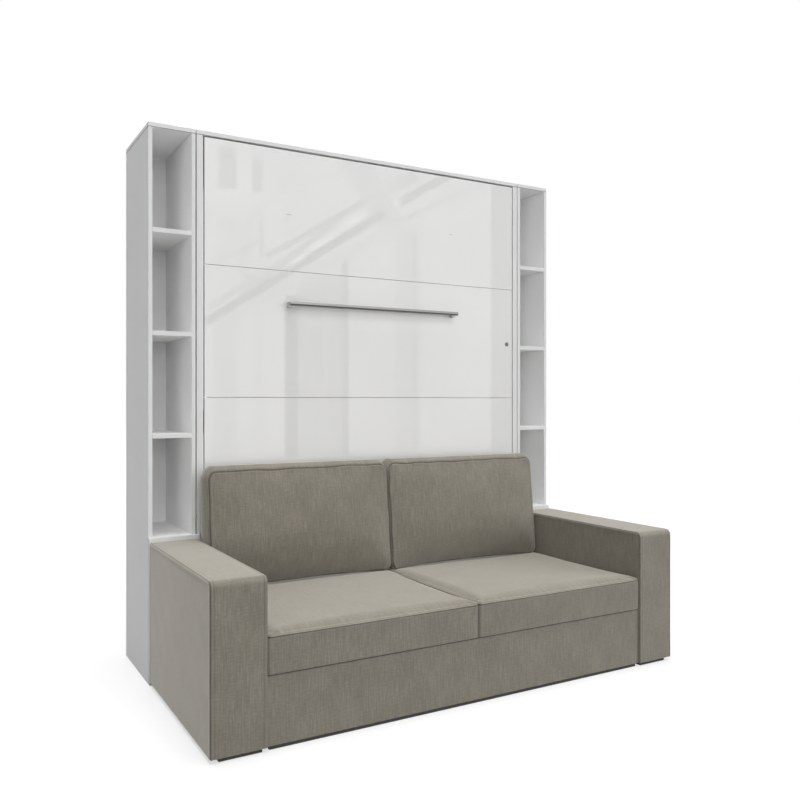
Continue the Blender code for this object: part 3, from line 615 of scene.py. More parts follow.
@dataclass(frozen=True)
class BirchWood:
    """Sanded birch plywood under thin lacquer: pale, with long fine grain that runs across the bed.

    Grain lines are about 3 mm apart, in bands four times as wide. Where tape_half is set, webbing of that
    half width crosses the wood at tape_place to each side of the middle.

    Attributes:
        name: the finish in plain words.
        dark: colour of the late wood.
        light: colour of the early wood.
        webbing: colour of the tapes.
        grain_mm: distance between grain lines.
        tape_place: how far each tape's middle lies from the bed's.
        tape_half: half a tape's width.
        tape_low: where a tape's face starts, in Y.
        tape_high: where it ends.
    """

    name: str = "lacquered_birch_plywood"
    dark: str = "#B99A6C"
    light: str = "#D9C19A"
    webbing: str = "#E4E2DC"
    grain_mm: float = 3.0
    tape_place: float = 0.0
    tape_half: float = 0.0
    tape_low: float = 0.0
    tape_high: float = 0.0

    def material(self) -> Material:
        """Build the material from the piece's own place.

        Returns:
            The wood.
        """
        material, shader = new_material(self.name, {"Roughness": 0.5, "Specular IOR Level": 0.4})
        tree = material.node_tree
        place = add_node(tree, "TexCoord").outputs["Object"]
        scale = (4.0, 60.0, 1 / (self.grain_mm * MM) / 4)
        stretched = add_node(tree, "Mapping", {"Vector": place, "Scale": scale})
        grain = add_node(
            tree, "TexNoise",
            {"Vector": stretched, "Scale": 1.0, "Detail": 5.0, "Roughness": 0.6, "Distortion": 0.6},
        ).outputs["Fac"]
        colour = add_node(tree, "ValToRGB", {"Fac": grain}, stops=((0.3, self.dark), (0.6, self.light)))
        base = colour.outputs[0]
        if self.tape_half:
            split = add_node(tree, "SeparateXYZ", {0: place})
            side = add_node(tree, "Math", {0: split.outputs["X"]}, operation="ABSOLUTE")
            near = add_node(
                tree, "Math", {0: side, 1: self.tape_place, 2: self.tape_half}, operation="COMPARE"
            )
            middle = (self.tape_low + self.tape_high) / 2
            half = (self.tape_high - self.tape_low) / 2
            within = add_node(
                tree, "Math", {0: split.outputs["Y"], 1: middle, 2: half}, operation="COMPARE"
            )
            tape = add_node(tree, "Math", {0: near, 1: within}, operation="MULTIPLY")
            mixed = add_node(tree, "Mix", {0: tape, 6: base, 7: linear(self.webbing)}, data_type="RGBA")
            base = mixed.outputs[2]
        tree.links.new(base, shader.inputs["Base Color"])
        bump = add_node(tree, "Bump", {"Height": grain, "Strength": 0.2, "Distance": 0.15 * MM})
        tree.links.new(bump.outputs[0], shader.inputs["Normal"])
        return material


def graded(
    low: float, high: float, step: float, fine_step: float, zones: Sequence[tuple[float, float]]
) -> Array:
    """Return places from low to high, close together inside the zones and a step apart elsewhere.

    Args:
        low: the first place.
        high: the last place.
        step: spacing outside the zones.
        fine_step: spacing inside the zones.
        zones: pairs of places between which the spacing is fine.

    Returns:
        Rising places, the first and last exact.
    """
    marks = sorted({low, high, *(min(max(end, low), high) for zone in zones for end in zone)})
    runs = []
    for start, stop in zip(marks, marks[1:]):
        middle = (start + stop) / 2
        fine = any(zone_low < middle < zone_high for zone_low, zone_high in zones)
        count = max(1, round((stop - start) / (fine_step if fine else step)))
        runs.append(np.linspace(start, stop, count, endpoint=False))
    return np.append(np.concatenate(runs), high)


class Lattice:
    """The skin of a box-shaped grid: its points, quads that face outwards, and flat cloth coordinates."""

    def __init__(self, xs: Array, ys: Array, zs: Array) -> None:
        """Make the skin of a grid.

        Args:
            xs: its places along X, in rising order.
            ys: its places along Y, likewise.
            zs: its places along Z, likewise.
        """
        self.places = (xs, ys, zs)
        self.counts = tuple(len(places) for places in self.places)
        steps = np.indices(self.counts)
        last = np.array(self.counts).reshape(3, 1, 1, 1) - 1
        self.on_skin = ((steps == 0) | (steps == last)).any(axis=0)
        self.order = np.full(self.counts, -1)
        self.order[self.on_skin] = np.arange(self.on_skin.sum())
        self.flat = np.stack(np.meshgrid(*self.places, indexing="ij"), axis=-1)[self.on_skin]

    def quads(self) -> tuple[Array, Array]:
        """Lay quads over all six sides.

        A side's quads go round its outward normal, and its cloth coordinates are the two places along it, the
        upright one second.

        Returns:
            Four point numbers a quad, and for each quad's corners its cloth coordinates in metres.
        """
        quads, cloth = [], []
        for axis, turned in ((Axis.X, False), (Axis.Y, True), (Axis.Z, False)):
            for end, high_side in ((0, False), (-1, True)):
                side = np.take(self.order, end, axis=axis)
                corners = (side[:-1, :-1], side[1:, :-1], side[1:, 1:], side[:-1, 1:])
                quad = np.stack(corners, axis=-1).reshape(-1, 4)
                if high_side == turned:
                    quad = quad[:, ::-1]
                along = [other for other in range(3) if other != axis]
                quads.append(quad)
                cloth.append(self.flat[quad][:, :, along])
        return np.concatenate(quads), np.concatenate(cloth)


def make_mesh(
    name: str, points: Array, quads: Array, cloth: Array | None = None, seam: Array | None = None
) -> Mesh:
    """Make a smooth mesh of quads.

    Args:
        name: the mesh's name.
        points: one row a vertex.
        quads: four vertex numbers a face.
        cloth: cloth coordinates for each corner of each face.
        seam: for each vertex, how much painted shade it gets: 1 in a seam or along a shaded edge, 0 away from
            them.

    Returns:
        The mesh.
    """
    mesh = bpy.data.meshes.new(name)
    mesh.vertices.add(len(points))
    mesh.vertices.foreach_set("co", points.astype(np.float32).ravel())
    mesh.loops.add(quads.size)
    mesh.loops.foreach_set("vertex_index", quads.astype(np.int32).ravel())
    mesh.polygons.add(len(quads))
    mesh.polygons.foreach_set("loop_start", np.arange(0, quads.size, 4, dtype=np.int32))
    mesh.update(calc_edges=True)
    mesh.validate()
    mesh.shade_smooth()
    if cloth is not None:
        mesh.uv_layers.new(name="cloth").data.foreach_set("uv", cloth.astype(np.float32).ravel())
    if seam is not None:
        mesh.attributes.new("seam", "FLOAT", "POINT").data.foreach_set("value", seam.astype(np.float32))
    return mesh


def add_piece(mesh: Mesh, material: Material, body: Body, nodes: Sequence[str]) -> Object:
    """Put a mesh in the scene as a piece that rides on a body and stands for CAD nodes.

    Args:
        mesh: the piece's mesh, in place.
        material: its finish.
        body: the body it rides on.
        nodes: the CAD nodes it stands for.

    Returns:
        The piece's object.
    """
    piece = bpy.data.objects.new(mesh.name, mesh)
    bpy.context.scene.collection.objects.link(piece)
    mesh.materials.append(material)
    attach(piece, body.value)
    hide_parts(*nodes)
    LOG.info("%s: %d faces, on %s, for %s", piece.name, len(mesh.polygons), body.value, ", ".join(nodes))
    return piece


def ripple(points: Array, seed: int, wavelength: float, waves: int = 9) -> Array:
    """Return a soft unevenness from about -1 to 1: the mean of sine waves that cross each other.

    The waves' lengths range from 0.6 to 1.7 times the wavelength, and the factor 1.6 makes up for how far
    they cancel each other.

    Args:
        points: one row a point.
        seed: picks the waves' directions, lengths and phases.
        wavelength: their middle length in metres.
        waves: how many there are.

    Returns:
        One value a point.
    """
    draw = np.random.default_rng(seed)
    ways = draw.normal(size=(waves, 3))
    ways /= np.linalg.norm(ways, axis=1, keepdims=True)
    lengths = wavelength * draw.uniform(0.6, 1.7, waves)
    phases = draw.uniform(0, 2 * pi, waves)
    return 1.6 * np.sin(points @ ways.T * (2 * pi / lengths) + phases).mean(axis=1)


def hill(distance: Array, width: float) -> Array:
    """Return a bell curve: 1 at no distance, falling to a third at the width."""
    return np.exp(-((distance / width) ** 2))


@dataclass(frozen=True)
class Slab:
    """A pad's main form: a plan outline with round corners, thickened along one axis, with round edges.

    Attributes:
        low: its lowest corner.
        high: its highest corner.
        axis: the axis that the thickness runs along.
        corners: the plan's corner radii, at low-low, high-low, high-high and low-high.
        edge: the radius between each of the two panels and the rim.
    """

    low: Array
    high: Array
    axis: Axis
    corners: tuple[float, float, float, float]
    edge: float

    def lattice(self, step: float, fine_step: float = 0.0, seams: float = 0.0) -> Lattice:
        """Return a grid over the slab's box.

        Args:
            step: its spacing.
            fine_step: the spacing near the box's edges, or 0 for an even grid.
            seams: how far from the box's edges the fine spacing reaches.

        Returns:
            The grid.
        """
        places = []
        for low, high in zip(self.low, self.high):
            zones = [(low, low + seams), (high - seams, high)] if fine_step else []
            places.append(graded(low, high, step, fine_step or step, zones))
        return Lattice(*places)

    def skin(self, flat: Array) -> "Skin":
        """Round the slab's box.

        In the plan, squares about a corner's centre become circles of the same half width. Across an edge,
        the distances in from the rim and from the panel are shortened together, so that they lie on a circle.

        Args:
            flat: points on the skin of the box.

        Returns:
            The rounded skin.
        """
        plan_axes = [axis for axis in range(3) if axis != self.axis]
        low, high = self.low[plan_axes], self.high[plan_axes]
        square = flat[:, plan_axes]
        plan = square.copy()
        margins = np.concatenate([square - low, high - square], axis=1)
        inset = margins.min(axis=1)
        outward = np.array([(-1.0, 0.0), (0.0, -1.0), (1.0, 0.0), (0.0, 1.0)])[margins.argmin(axis=1)]
        for way, radius in zip(((-1, -1), (1, -1), (1, 1), (-1, 1)), self.corners):
            centre = np.where(np.array(way) > 0, high - radius, low + radius)
            arm = square - centre
            inside = (arm * way > 0).all(axis=1)
            reach = np.abs(arm).max(axis=1)
            length = np.maximum(np.linalg.norm(arm, axis=1), TINY)
            plan[inside] = (centre + arm * (reach / length)[:, None])[inside]
            inset[inside] = (radius - reach)[inside]
            outward[inside] = (arm / length[:, None])[inside]
        depth = flat[:, self.axis]
        below, above = depth - self.low[self.axis], self.high[self.axis] - depth
        sunk = np.minimum(below, above)
        side = np.where(below < above, -1.0, 1.0)
        rim_part = np.clip(self.edge - inset, 0, self.edge)
        panel_part = np.clip(self.edge - sunk, 0, self.edge)
        keep = np.maximum(rim_part, panel_part) / np.maximum(np.hypot(rim_part, panel_part), TINY)
        points = np.empty_like(flat)
        points[:, plan_axes] = plan - outward * (rim_part * (1 - keep))[:, None]
        points[:, self.axis] = depth - side * panel_part * (1 - keep)
        normals = np.empty_like(flat)
        normals[:, plan_axes] = outward * rim_part[:, None]
        normals[:, self.axis] = side * panel_part
        normals /= np.maximum(np.linalg.norm(normals, axis=1, keepdims=True), TINY)
        return Skin(points, normals, inset - sunk, side)


@dataclass
class Skin:
    """Points of a slab's rounded skin, and where they lie.

    Attributes:
        points: one row a point.
        normals: the outward direction at each.
        across: distance from the nearer arris, over 0 on a panel and under 0 on the rim.
        side: which panel is nearer, -1 the low one and 1 the high one.
    """

    points: Array
    normals: Array
    across: Array
    side: Array

    def push(self, distance: Array) -> None:
        """Move each point outwards by its distance."""
        self.points = self.points + self.normals * distance[:, None]

    def seam_line(self, place: Array | float, side: float | None = None) -> Array:
        """Measure how far each point lies from a seam that runs round the skin.

        Args:
            place: the seam's place across the arris.
            side: the panel that it belongs to, or None for a seam beside each panel. Points nearer the other
                panel then count as a metre away.

        Returns:
            One distance a point, over 0 towards the middle of the panel.
        """
        distance = self.across - place
        return distance if side is None else np.where(self.side == side, distance, 1.0)


def spread(coarse: Array, fine: Array) -> Array:
    """Return weights that carry values from evenly spaced places to others along smooth cubic curves.

    Args:
        coarse: evenly spaced places.
        fine: places between the first and the last of them.

    Returns:
        One row a fine place, one column a coarse one; each row's sum is 1.
    """
    along = (fine - coarse[0]) / (coarse[1] - coarse[0])
    start = np.clip(np.floor(along), 0, len(coarse) - 2).astype(int)
    t = along - start
    shares = (
        (-1, -0.5 * t + t ** 2 - 0.5 * t ** 3),
        (0, 1 - 2.5 * t ** 2 + 1.5 * t ** 3),
        (1, 0.5 * t + 2 * t ** 2 - 1.5 * t ** 3),
        (2, -0.5 * t ** 2 + 0.5 * t ** 3),
    )
    weights = np.zeros((len(fine), len(coarse)))
    for offset, share in shares:
        np.add.at(weights, (np.arange(len(fine)), np.clip(start + offset, 0, len(coarse) - 1)), share)
    return weights


@dataclass(frozen=True)
class Filling:
    """How a cushion's filling swells its cover, found by a cloth simulation under pressure.

    Attributes:
        step: spacing of the simulated cover's threads.
        pressure: the filling's pressure.
        spare: how much larger the cover's cloth is than the form under it.
        cap: the furthest that a point may move.
        frames: how long the cover swells.
        stiffness: how firmly its cloth resists bending.
        tension: how firmly it resists stretching and crushing.
        shear: how firmly it resists skewing.
        weight: how heavy each of its points is.
        quality: how many steps the simulation takes a frame.
    """

    step: float = 0.011
    pressure: float = 4.0
    spare: float = 0.01
    cap: float = 0.02
    frames: int = 20
    stiffness: float = 0.6
    tension: float = 12.0
    shear: float = 6.0
    weight: float = 0.25
    quality: int = 4

    def swell(
        self, slab: Slab, warp: Callable[[Array], Array], held: Callable[[Array], Array], fine: Lattice
    ) -> Array:
        """Simulate the cover on a coarse grid, and carry its movement to a fine one.

        Args:
            slab: the cushion's main form.
            warp: moves points of the slab to the cushion's real form.
            held: for flat points, how firmly each is held, from 0 to 1.
            fine: the grid that the movement is wanted on.

        Returns:
            One movement a point of the fine grid.
        """
        coarse = slab.lattice(self.step)
        start = warp(slab.skin(coarse.flat).points)
        quads, _ = coarse.quads()
        moved = self.simulate(start, quads, held(coarse.flat)) - start
        length = np.maximum(np.linalg.norm(moved, axis=1, keepdims=True), TINY)
        moved *= self.cap * np.tanh(length / self.cap) / length
        field = np.zeros((*coarse.counts, 3))
        field[coarse.on_skin] = moved
        for axis in range(3):
            weights = spread(coarse.places[axis], fine.places[axis])
            field = np.moveaxis(np.tensordot(weights, field, axes=(1, axis)), 0, axis)
        return field[fine.on_skin]

    def simulate(self, points: Array, quads: Array, held: Array) -> Array:
        """Let a trial cover swell, and take it away again.

        Args:
            points: the cover's points at the start.
            quads: four point numbers a quad.
            held: for each point, how firmly it is held, from 0 to 1.

        Returns:
            Its points at the end.
        """
        cover = bpy.data.objects.new("cover_trial", make_mesh("cover_trial", points, quads))
        bpy.context.scene.collection.objects.link(cover)
        group = cover.vertex_groups.new(name="held")
        for level in np.unique(held[held > 0]):
            group.add(np.flatnonzero(held == level).tolist(), float(level), "REPLACE")
        cloth = cover.modifiers.new("cover", "CLOTH")
        settings = cloth.settings
        settings.quality = self.quality
        settings.mass = self.weight
        settings.tension_stiffness = settings.compression_stiffness = self.tension
        settings.shear_stiffness = self.shear
        settings.bending_stiffness = self.stiffness
        settings.use_pressure = True
        settings.uniform_pressure_force = self.pressure
        settings.shrink_min = -self.spare
        settings.vertex_group_mass = "held"
        settings.effector_weights.gravity = 0.0
        cloth.collision_settings.use_collision = False
        cloth.point_cache.frame_start = 1
        cloth.point_cache.frame_end = self.frames
        scene = bpy.context.scene
        for number in range(1, self.frames + 1):
            scene.frame_set(number)
        shown = cover.evaluated_get(bpy.context.evaluated_depsgraph_get())
        result = np.empty(len(points) * 3)
        shown.data.vertices.foreach_get("co", result)
        mesh = cover.data
        bpy.data.objects.remove(cover)
        bpy.data.meshes.remove(mesh)
        scene.frame_set(1)
        return result.reshape(-1, 3)


def node_box(name: str) -> tuple[Array, Array]:
    """Return a CAD node's lowest and highest corners as arrays."""
    low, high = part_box(name)
    return np.array(low), np.array(high)


@dataclass
class Upholstery:
    """The sofa's fixed cloth-covered pieces: two arms and the front rail.

    Attributes:
        cloth: the cover's material.
        inset: how far the main form lies inside the CAD solid, which its unevenness then fills.
        edge: radius of the arms' side edges.
        front_round: radius of the arms' front top edge.
        corner: radius of the other corners.
        overlap: how far an arm's padding reaches towards the seat cushion.
        stitch_in: how far the top stitch lies in from an arm's edge.
        stitch_depth: depth of the stitch's valley.
        stitch_width: half width of that valley.
        stitch_shade: how strong the painted shade in the top stitch's groove is, as a share of the painted
            shade in a seam.
        seam_depth: depth of a seam's valley.
        seam_width: half width of that valley.
        stray: how far a seam strays from its line.
        welts: place across the arris, half width and share of the swelling on each side of a seam.
        welt_height: height of that swelling.
        arm_waves: height of the arms' unevenness.
        arm_calm: how far in from the edges it grows to that height.
        rail_waves: height of the rail's unevenness.
        rail_calm: how far in from the edges it grows to that height.
        rail_top_shade: height of the painted shade along the rail's top edge, which lies under the seat
            cushions' overhang.
        step: spacing of the points away from the edges.
        fine_step: their spacing near the edges.
        arm_fine: how far past the top stitch the fine spacing reaches.
        rail_fine: how far from the rail's edges it reaches.
    """

    cloth: Material
    inset: float = 0.0004
    edge: float = 0.004
    front_round: float = 0.022
    corner: float = 0.006
    overlap: float = 0.0028
    stitch_in: float = 0.012
    stitch_depth: float = 0.0007
    stitch_width: float = 0.0022
    stitch_shade: float = 0.3
    seam_depth: float = 0.0022
    seam_width: float = 0.0024
    stray: float = 0.0006
    welts: tuple[tuple[float, float, float], ...] = ((0.009, 0.006, 1.0), (-0.005, 0.003, 0.6))
    welt_height: float = 0.0008
    arm_waves: float = 0.0006
    arm_calm: float = 0.06
    rail_waves: float = 0.0005
    rail_calm: float = 0.05
    rail_top_shade: float = 0.005
    step: float = 0.012
    fine_step: float = 0.0013
    arm_fine: float = 0.006
    rail_fine: float = 0.01

    def build(self) -> None:
        """Build the arms and the rail."""
        for seed, side in enumerate(("left", "right"), start=11):
            self.build_arm(side, seed)
        self.build_rail()

    def build_arm(self, side: str, seed: int) -> None:
        """Build one arm: a cloth strip runs over its top and down its front, sewn to a panel on each side.

        Args:
            side: left or right.
            seed: picks its unevenness.
        """
        low, high = node_box(f"sofa_arm_{side}")
        corners = (self.corner, self.corner, self.corner, self.front_round)
        low, high = low + self.inset, high - self.inset
        (high if side == "left" else low)[0] += self.overlap * (1 if side == "left" else -1)
        slab = Slab(low, high, Axis.X, corners, self.edge)
        lattice = slab.lattice(self.step, self.fine_step, self.stitch_in + self.arm_fine)
        skin = slab.skin(lattice.flat)
        wander = self.stray * ripple(skin.points, seed, wavelength=0.08)
        valley = hill(skin.seam_line(wander), self.seam_width)
        stitch = hill(skin.seam_line(wander - self.stitch_in), self.stitch_width)
        shoulder = sum(share * hill(skin.across - place, width) for place, width, share in self.welts)
        inner = np.clip(skin.across / self.arm_calm, 0, 1)
        uneven = ripple(skin.points, seed + 50, wavelength=0.16)
        skin.push(
            self.welt_height * shoulder + self.arm_waves * inner * uneven
            - self.seam_depth * valley - self.stitch_depth * stitch
        )
        quads, cloth = lattice.quads()
        # Painted shade in the seams' and the top stitch's valleys.
        seam = np.clip(valley + self.stitch_shade * stitch, 0, 1)
        mesh = make_mesh(f"arm_cover_{side}", skin.points, quads, cloth, seam)
        piece = add_piece(mesh, self.cloth, Body.CABINET, [f"sofa_arm_{side}"])

    def build_rail(self) -> None:
        """Build the front rail: a board under thin foam, its cloth pulled round the edges."""
        low, high = node_box("sofa_front_rail")
        slab = Slab(low, high, Axis.Y, (self.corner,) * 4, self.edge)
        lattice = slab.lattice(self.step, self.fine_step, self.rail_fine)
        skin = slab.skin(lattice.flat)
        inner = np.clip(skin.across / self.rail_calm, 0, 1)
        skin.push(self.rail_waves * inner * (ripple(skin.points, 31, wavelength=0.22) - 1))
        quads, cloth = lattice.quads()
        # Painted shade along the rail's top edge, for the shade under the seat cushions' overhang.
        edge_shade = np.clip(1 - (high[2] - skin.points[:, 2]) / self.rail_top_shade, 0, 1)
        mesh = make_mesh("front_rail_cover", skin.points, quads, cloth, edge_shade)
        piece = add_piece(mesh, self.cloth, Body.CABINET, ["sofa_front_rail"])


@dataclass
class SeatCushions:
    """The two seat cushions: a top panel sewn to a boxing just under its front edge, over dense foam.

    Attributes:
        cloth: the cover's material.
        filling: how the cover swells.
        edge: radius of the edges.
        plan_corner: radius of the panel's corners.
        seam_down: how far the seam lies below the arris, along the cloth.
        seam_depth: depth of a seam's valley.
        seam_width: half width of that valley.
        stray: how far the seam strays from its line.
        puckers: height of the puckers beside it.
        pucker_reach: how far to each side they reach.
        waves: height of the cover's unevenness.
        calm: how far in from the edges it grows to that height.
        sink: how far the cover lies inside its main form on the whole.
        edge_shade: height of the painted shade along the foot, where the cushion's underside lies out of the
            light.
        tuck: how far the swelling reaches under the back cushion's round foot.
        gap: the air between the main form's top and the back cushion.
        step: spacing of the points away from the edges.
        fine_step: their spacing near the edges.
        fine: how far past the seam the fine spacing reaches.
    """

    cloth: Material
    filling: Filling = Filling(pressure=9.0, cap=0.0125, spare=0.003)
    edge: float = 0.009
    plan_corner: float = 0.012
    seam_down: float = 0.010
    seam_depth: float = 0.0024
    seam_width: float = 0.0024
    stray: float = 0.0006
    puckers: float = 0.0003
    pucker_reach: float = 0.02
    waves: float = 0.0010
    calm: float = 0.05
    sink: float = 0.0006
    edge_shade: float = 0.006
    tuck: float = 0.018
    gap: float = 0.0003
    step: float = 0.0065
    fine_step: float = 0.0017
    fine: float = 0.008

    def build(self) -> None:
        """Build both cushions."""
        for seed, side in enumerate(("left", "right"), start=71):
            self.build_cushion(side, seed)

    def build_cushion(self, side: str, seed: int) -> None:
        """Build one cushion in its CAD solid's room.

        Args:
            side: left or right.
            seed: picks its unevenness.
        """
        low, high = node_box(f"seat_cushion_{side}")
        back_low, _ = node_box(f"back_cushion_{side}")
        flat_top = float(back_low[2]) - self.gap
        slab = Slab(low, np.array([high[0], high[1], flat_top]), Axis.Z, (self.plan_corner,) * 4, self.edge)
        lattice = slab.lattice(self.step, self.fine_step, self.seam_down + self.fine)
        skin = slab.skin(lattice.flat)
        contact = float(back_low[1]) + self.tuck

        def held(flat: Array) -> Array:
            """Hold the boxing below its seam, the underside, and the top under the back cushion."""
            return np.where((flat[:, 2] < flat_top - self.seam_down) | (flat[:, 1] > contact), 1.0, 0.0)

        moved = self.filling.swell(slab, lambda points: points, held, lattice)
        skin.points = skin.points + moved
        seams = self.sew(skin, seed)
        rise = (high[2] - flat_top) * np.sqrt(np.clip((contact - skin.points[:, 1]) / self.tuck, 0, 1))
        skin.points[:, 2] = np.minimum(skin.points[:, 2], flat_top + rise)
        skin.points = np.clip(skin.points, low, high)
        quads, cloth = lattice.quads()
        mesh = make_mesh(f"seat_cushion_cover_{side}", skin.points, quads, cloth, seams)
        piece = add_piece(mesh, self.cloth, Body.CABINET, [f"seat_cushion_{side}"])

    def sew(self, skin: Skin, seed: int) -> Array:
        """Draw in the seam that joins the top panel to the boxing, with faint puckers beside it.

        Args:
            skin: the cushion's skin, which is changed.
            seed: picks its unevenness.

        Returns:
            For each point, 1 in a seam or along the foot, where shade is painted, and 0 away from them.
        """
        wander = self.stray * ripple(skin.points, seed, wavelength=0.09)
        upper = hill(skin.seam_line(wander - self.seam_down, side=1.0), self.seam_width)
        beside = hill(skin.seam_line(-self.seam_down, side=1.0), self.pucker_reach)
        gathered = np.clip(ripple(skin.points, seed + 9, wavelength=0.3), 0, 1)
        puckers = beside * ripple(skin.points, seed + 5, wavelength=0.028) * gathered
        inner = np.clip(skin.across / self.calm, -0.3, 1)
        uneven = inner * ripple(skin.points, seed + 3, wavelength=0.2)
        skin.push(self.puckers * puckers + self.waves * uneven - self.sink - self.seam_depth * upper)
        # Painted shade along the foot: the lowest few millimetres of the cover are darkened for the shade
        # under the cushion.
        foot = np.clip(1 - (skin.points[:, 2] - skin.points[:, 2].min()) / self.edge_shade, 0, 1)
        return np.clip(upper + foot, 0, 1)


@dataclass
class BackCushions:
    """The two loose back cushions: boxed, soft, thicker at the foot, with a puckered seam round the front.

    Attributes:
        cloth: the cover's material.
        filling: how the cover swells.
        lean: how much thicker the foot is than the top.
        foot_in: how far the foot draws back under the front, in the middle of its length.
        foot_share: the share of the height that draws back.
        front_bulge: how far the front stands out at its fullest place, ahead of its seam.
        belly: power that puts the fullest place under the middle of the height.
        full_up: power that spreads the fullness towards the seams above and below.
        full_along: power that spreads it towards the seams at the sides.
        plan_corner: radius of the front panel's corners.
        edge: radius between a panel and the boxing.
        side_in: how far the outer side's seam lies inside the cushion's room.
        side_bulge: how far the boxing bulges out at the outer side.
        side_share: the share of the half length that it moves.
        top_bulge: how far it bulges up at the top.
        top_share: the share of the height that it moves.
        top_over: how far the bulging top would pass the room's by the formula alone.
        middle_gap: how far the form lies inside the room at the sofa's middle.
        slack: how much thinner the foot is than its room.
        seam_in: how far the seam lies in from the arris, along the panel.
        seam_depth: depth of a seam's valley.
        seam_width: half width of that valley.
        stray: how far the front seam strays from its line.
        waves: height of the cover's unevenness.
        lip: height of the cloth that stands up beside the front seam.
        lip_aside: how far beside the seam it is highest.
        lip_width: its half width.
        puckers: how many puckers cross the front seam's top.
        pucker_depth: how deep the deepest is.
        pucker_depths: how deep they are, as shares of the deepest.
        pucker_widths: their half widths.
        pucker_slant: how far they slant at most, as a share of their length.
        pucker_reach: half their length.
        pucker_margin: how far they stay from the cushion's sides.
        pass_front: how far the swollen front may pass the room's.
        pass_top: how far the top may.
        step: spacing of the points away from the edges.
        fine_step: their spacing near the edges.
        fine: how far from the edges the fine spacing reaches.
    """

    cloth: Material
    filling: Filling = Filling(pressure=4.0, cap=0.014, spare=0.001, stiffness=4.0)
    lean: float = 0.048
    foot_in: float = 0.066
    foot_share: float = 0.40
    front_bulge: float = 0.021
    belly: float = 0.6
    full_up: float = 2.6
    full_along: float = 5.0
    plan_corner: float = 0.034
    edge: float = 0.009
    side_in: float = 0.013
    side_bulge: float = 0.013
    side_share: float = 0.1
    top_bulge: float = 0.024
    top_share: float = 0.15
    top_over: float = 0.010
    middle_gap: float = 0.0005
    slack: float = 0.002
    seam_in: float = 0.001
    seam_depth: float = 0.0030
    seam_width: float = 0.0026
    stray: float = 0.0034
    waves: float = 0.0016
    lip: float = 0.0010
    lip_aside: float = 0.008
    lip_width: float = 0.006
    puckers: int = 7
    pucker_depth: float = 0.0016
    pucker_depths: tuple[float, float] = (0.4, 1.0)
    pucker_widths: tuple[float, float] = (0.006, 0.012)
    pucker_slant: float = 0.5
    pucker_reach: float = 0.020
    pucker_margin: float = 0.06
    pass_front: float = 0.009
    pass_top: float = 0.006
    step: float = 0.0065
    fine_step: float = 0.0020
    fine: float = 0.026

    def build(self) -> None:
        """Build both cushions."""
        for seed, side in enumerate(("left", "right"), start=131):
            self.build_cushion(side, seed)

    def build_cushion(self, side: str, seed: int) -> None:
        """Build one cushion in its CAD solid's room: the seams lie inside it and the boxing fills it.

        Args:
            side: left or right.
            seed: picks its unevenness.
        """
        low, high = node_box(f"back_cushion_{side}")
        middle = 1.0 if side == "left" else -1.0
        thin = float(high[1] - low[1]) - self.lean - self.slack
        form_low = np.array([low[0] + self.side_in, high[1] - thin, low[2]])
        form_high = np.array([high[0] - self.side_in, high[1], high[2] - self.top_bulge + self.top_over])
        (form_high if middle > 0 else form_low)[0] += middle * (self.side_in - self.middle_gap)
        slab = Slab(form_low, form_high, Axis.Y, (self.plan_corner,) * 4, self.edge)
        lattice = slab.lattice(self.step, self.fine_step, self.fine)
        skin = slab.skin(lattice.flat)

        def shape(points: Array) -> Array:
            """Make the pad thicker towards its foot and its middle, and bulge its boxing as a parabola.

            Places are shares of the form's height (up), of its thickness (over) and of half its length
            (along).

            Args:
                points: points of the form's skin.

            Returns:
                The shaped points.
            """
            up = np.clip((points[:, 2] - form_low[2]) / (form_high[2] - form_low[2]), 0, 1)
            over = np.clip((form_high[1] - points[:, 1]) / thin, 0, 1)
            along = 2 * (points[:, 0] - form_low[0]) / (form_high[0] - form_low[0]) - 1
            bulge = 4 * over * (1 - over)
            at_side = np.clip((np.abs(along) - (1 - self.side_share)) / self.side_share, 0, 1) ** 2
            at_outer = at_side * (np.sign(along) != middle)
            at_top = np.clip((up - (1 - self.top_share)) / self.top_share, 0, 1) ** 2
            shaped = points.copy()
            aside = np.minimum(np.abs(along), 1)
            puff = (1 - np.abs(2 * up ** self.belly - 1) ** self.full_up) * (1 - aside ** self.full_along)
            under = np.clip(1 - up / self.foot_share, 0, 1) ** 3 * (1 - aside ** 3)
            shaped[:, 1] -= (self.lean * (1 - up) + self.front_bulge * puff - self.foot_in * under) * over
            shaped[:, 0] += np.sign(along) * self.side_bulge * bulge * at_outer * np.sqrt(up)
            shaped[:, 2] += self.top_bulge * bulge * at_top
            return shaped

        def held(flat: Array) -> Array:
            """Hold the pad's back, its underside and its front seam."""
            fixed = (flat[:, 1] > form_high[1] - TINY) | (flat[:, 2] < form_low[2] + TINY)
            ring = np.abs(slab.skin(flat).seam_line(self.seam_in, side=-1.0)) < self.filling.step / 2
            return np.where(fixed | ring, 1.0, 0.0)

        skin.points = shape(skin.points)
        skin.points = skin.points + self.filling.swell(slab, shape, held, lattice)
        seams = self.sew(skin, seed)
        lowest, highest = low[1:] - (self.pass_front, 0.0), high[1:] + (0.0, self.pass_top)
        skin.points[:, 1:] = np.clip(skin.points[:, 1:], lowest, highest)
        quads, cloth = lattice.quads()
        mesh = make_mesh(f"back_cushion_cover_{side}", skin.points, quads, cloth, seams)
        piece = add_piece(mesh, self.cloth, Body.BACKS, [f"back_cushion_{side}"])

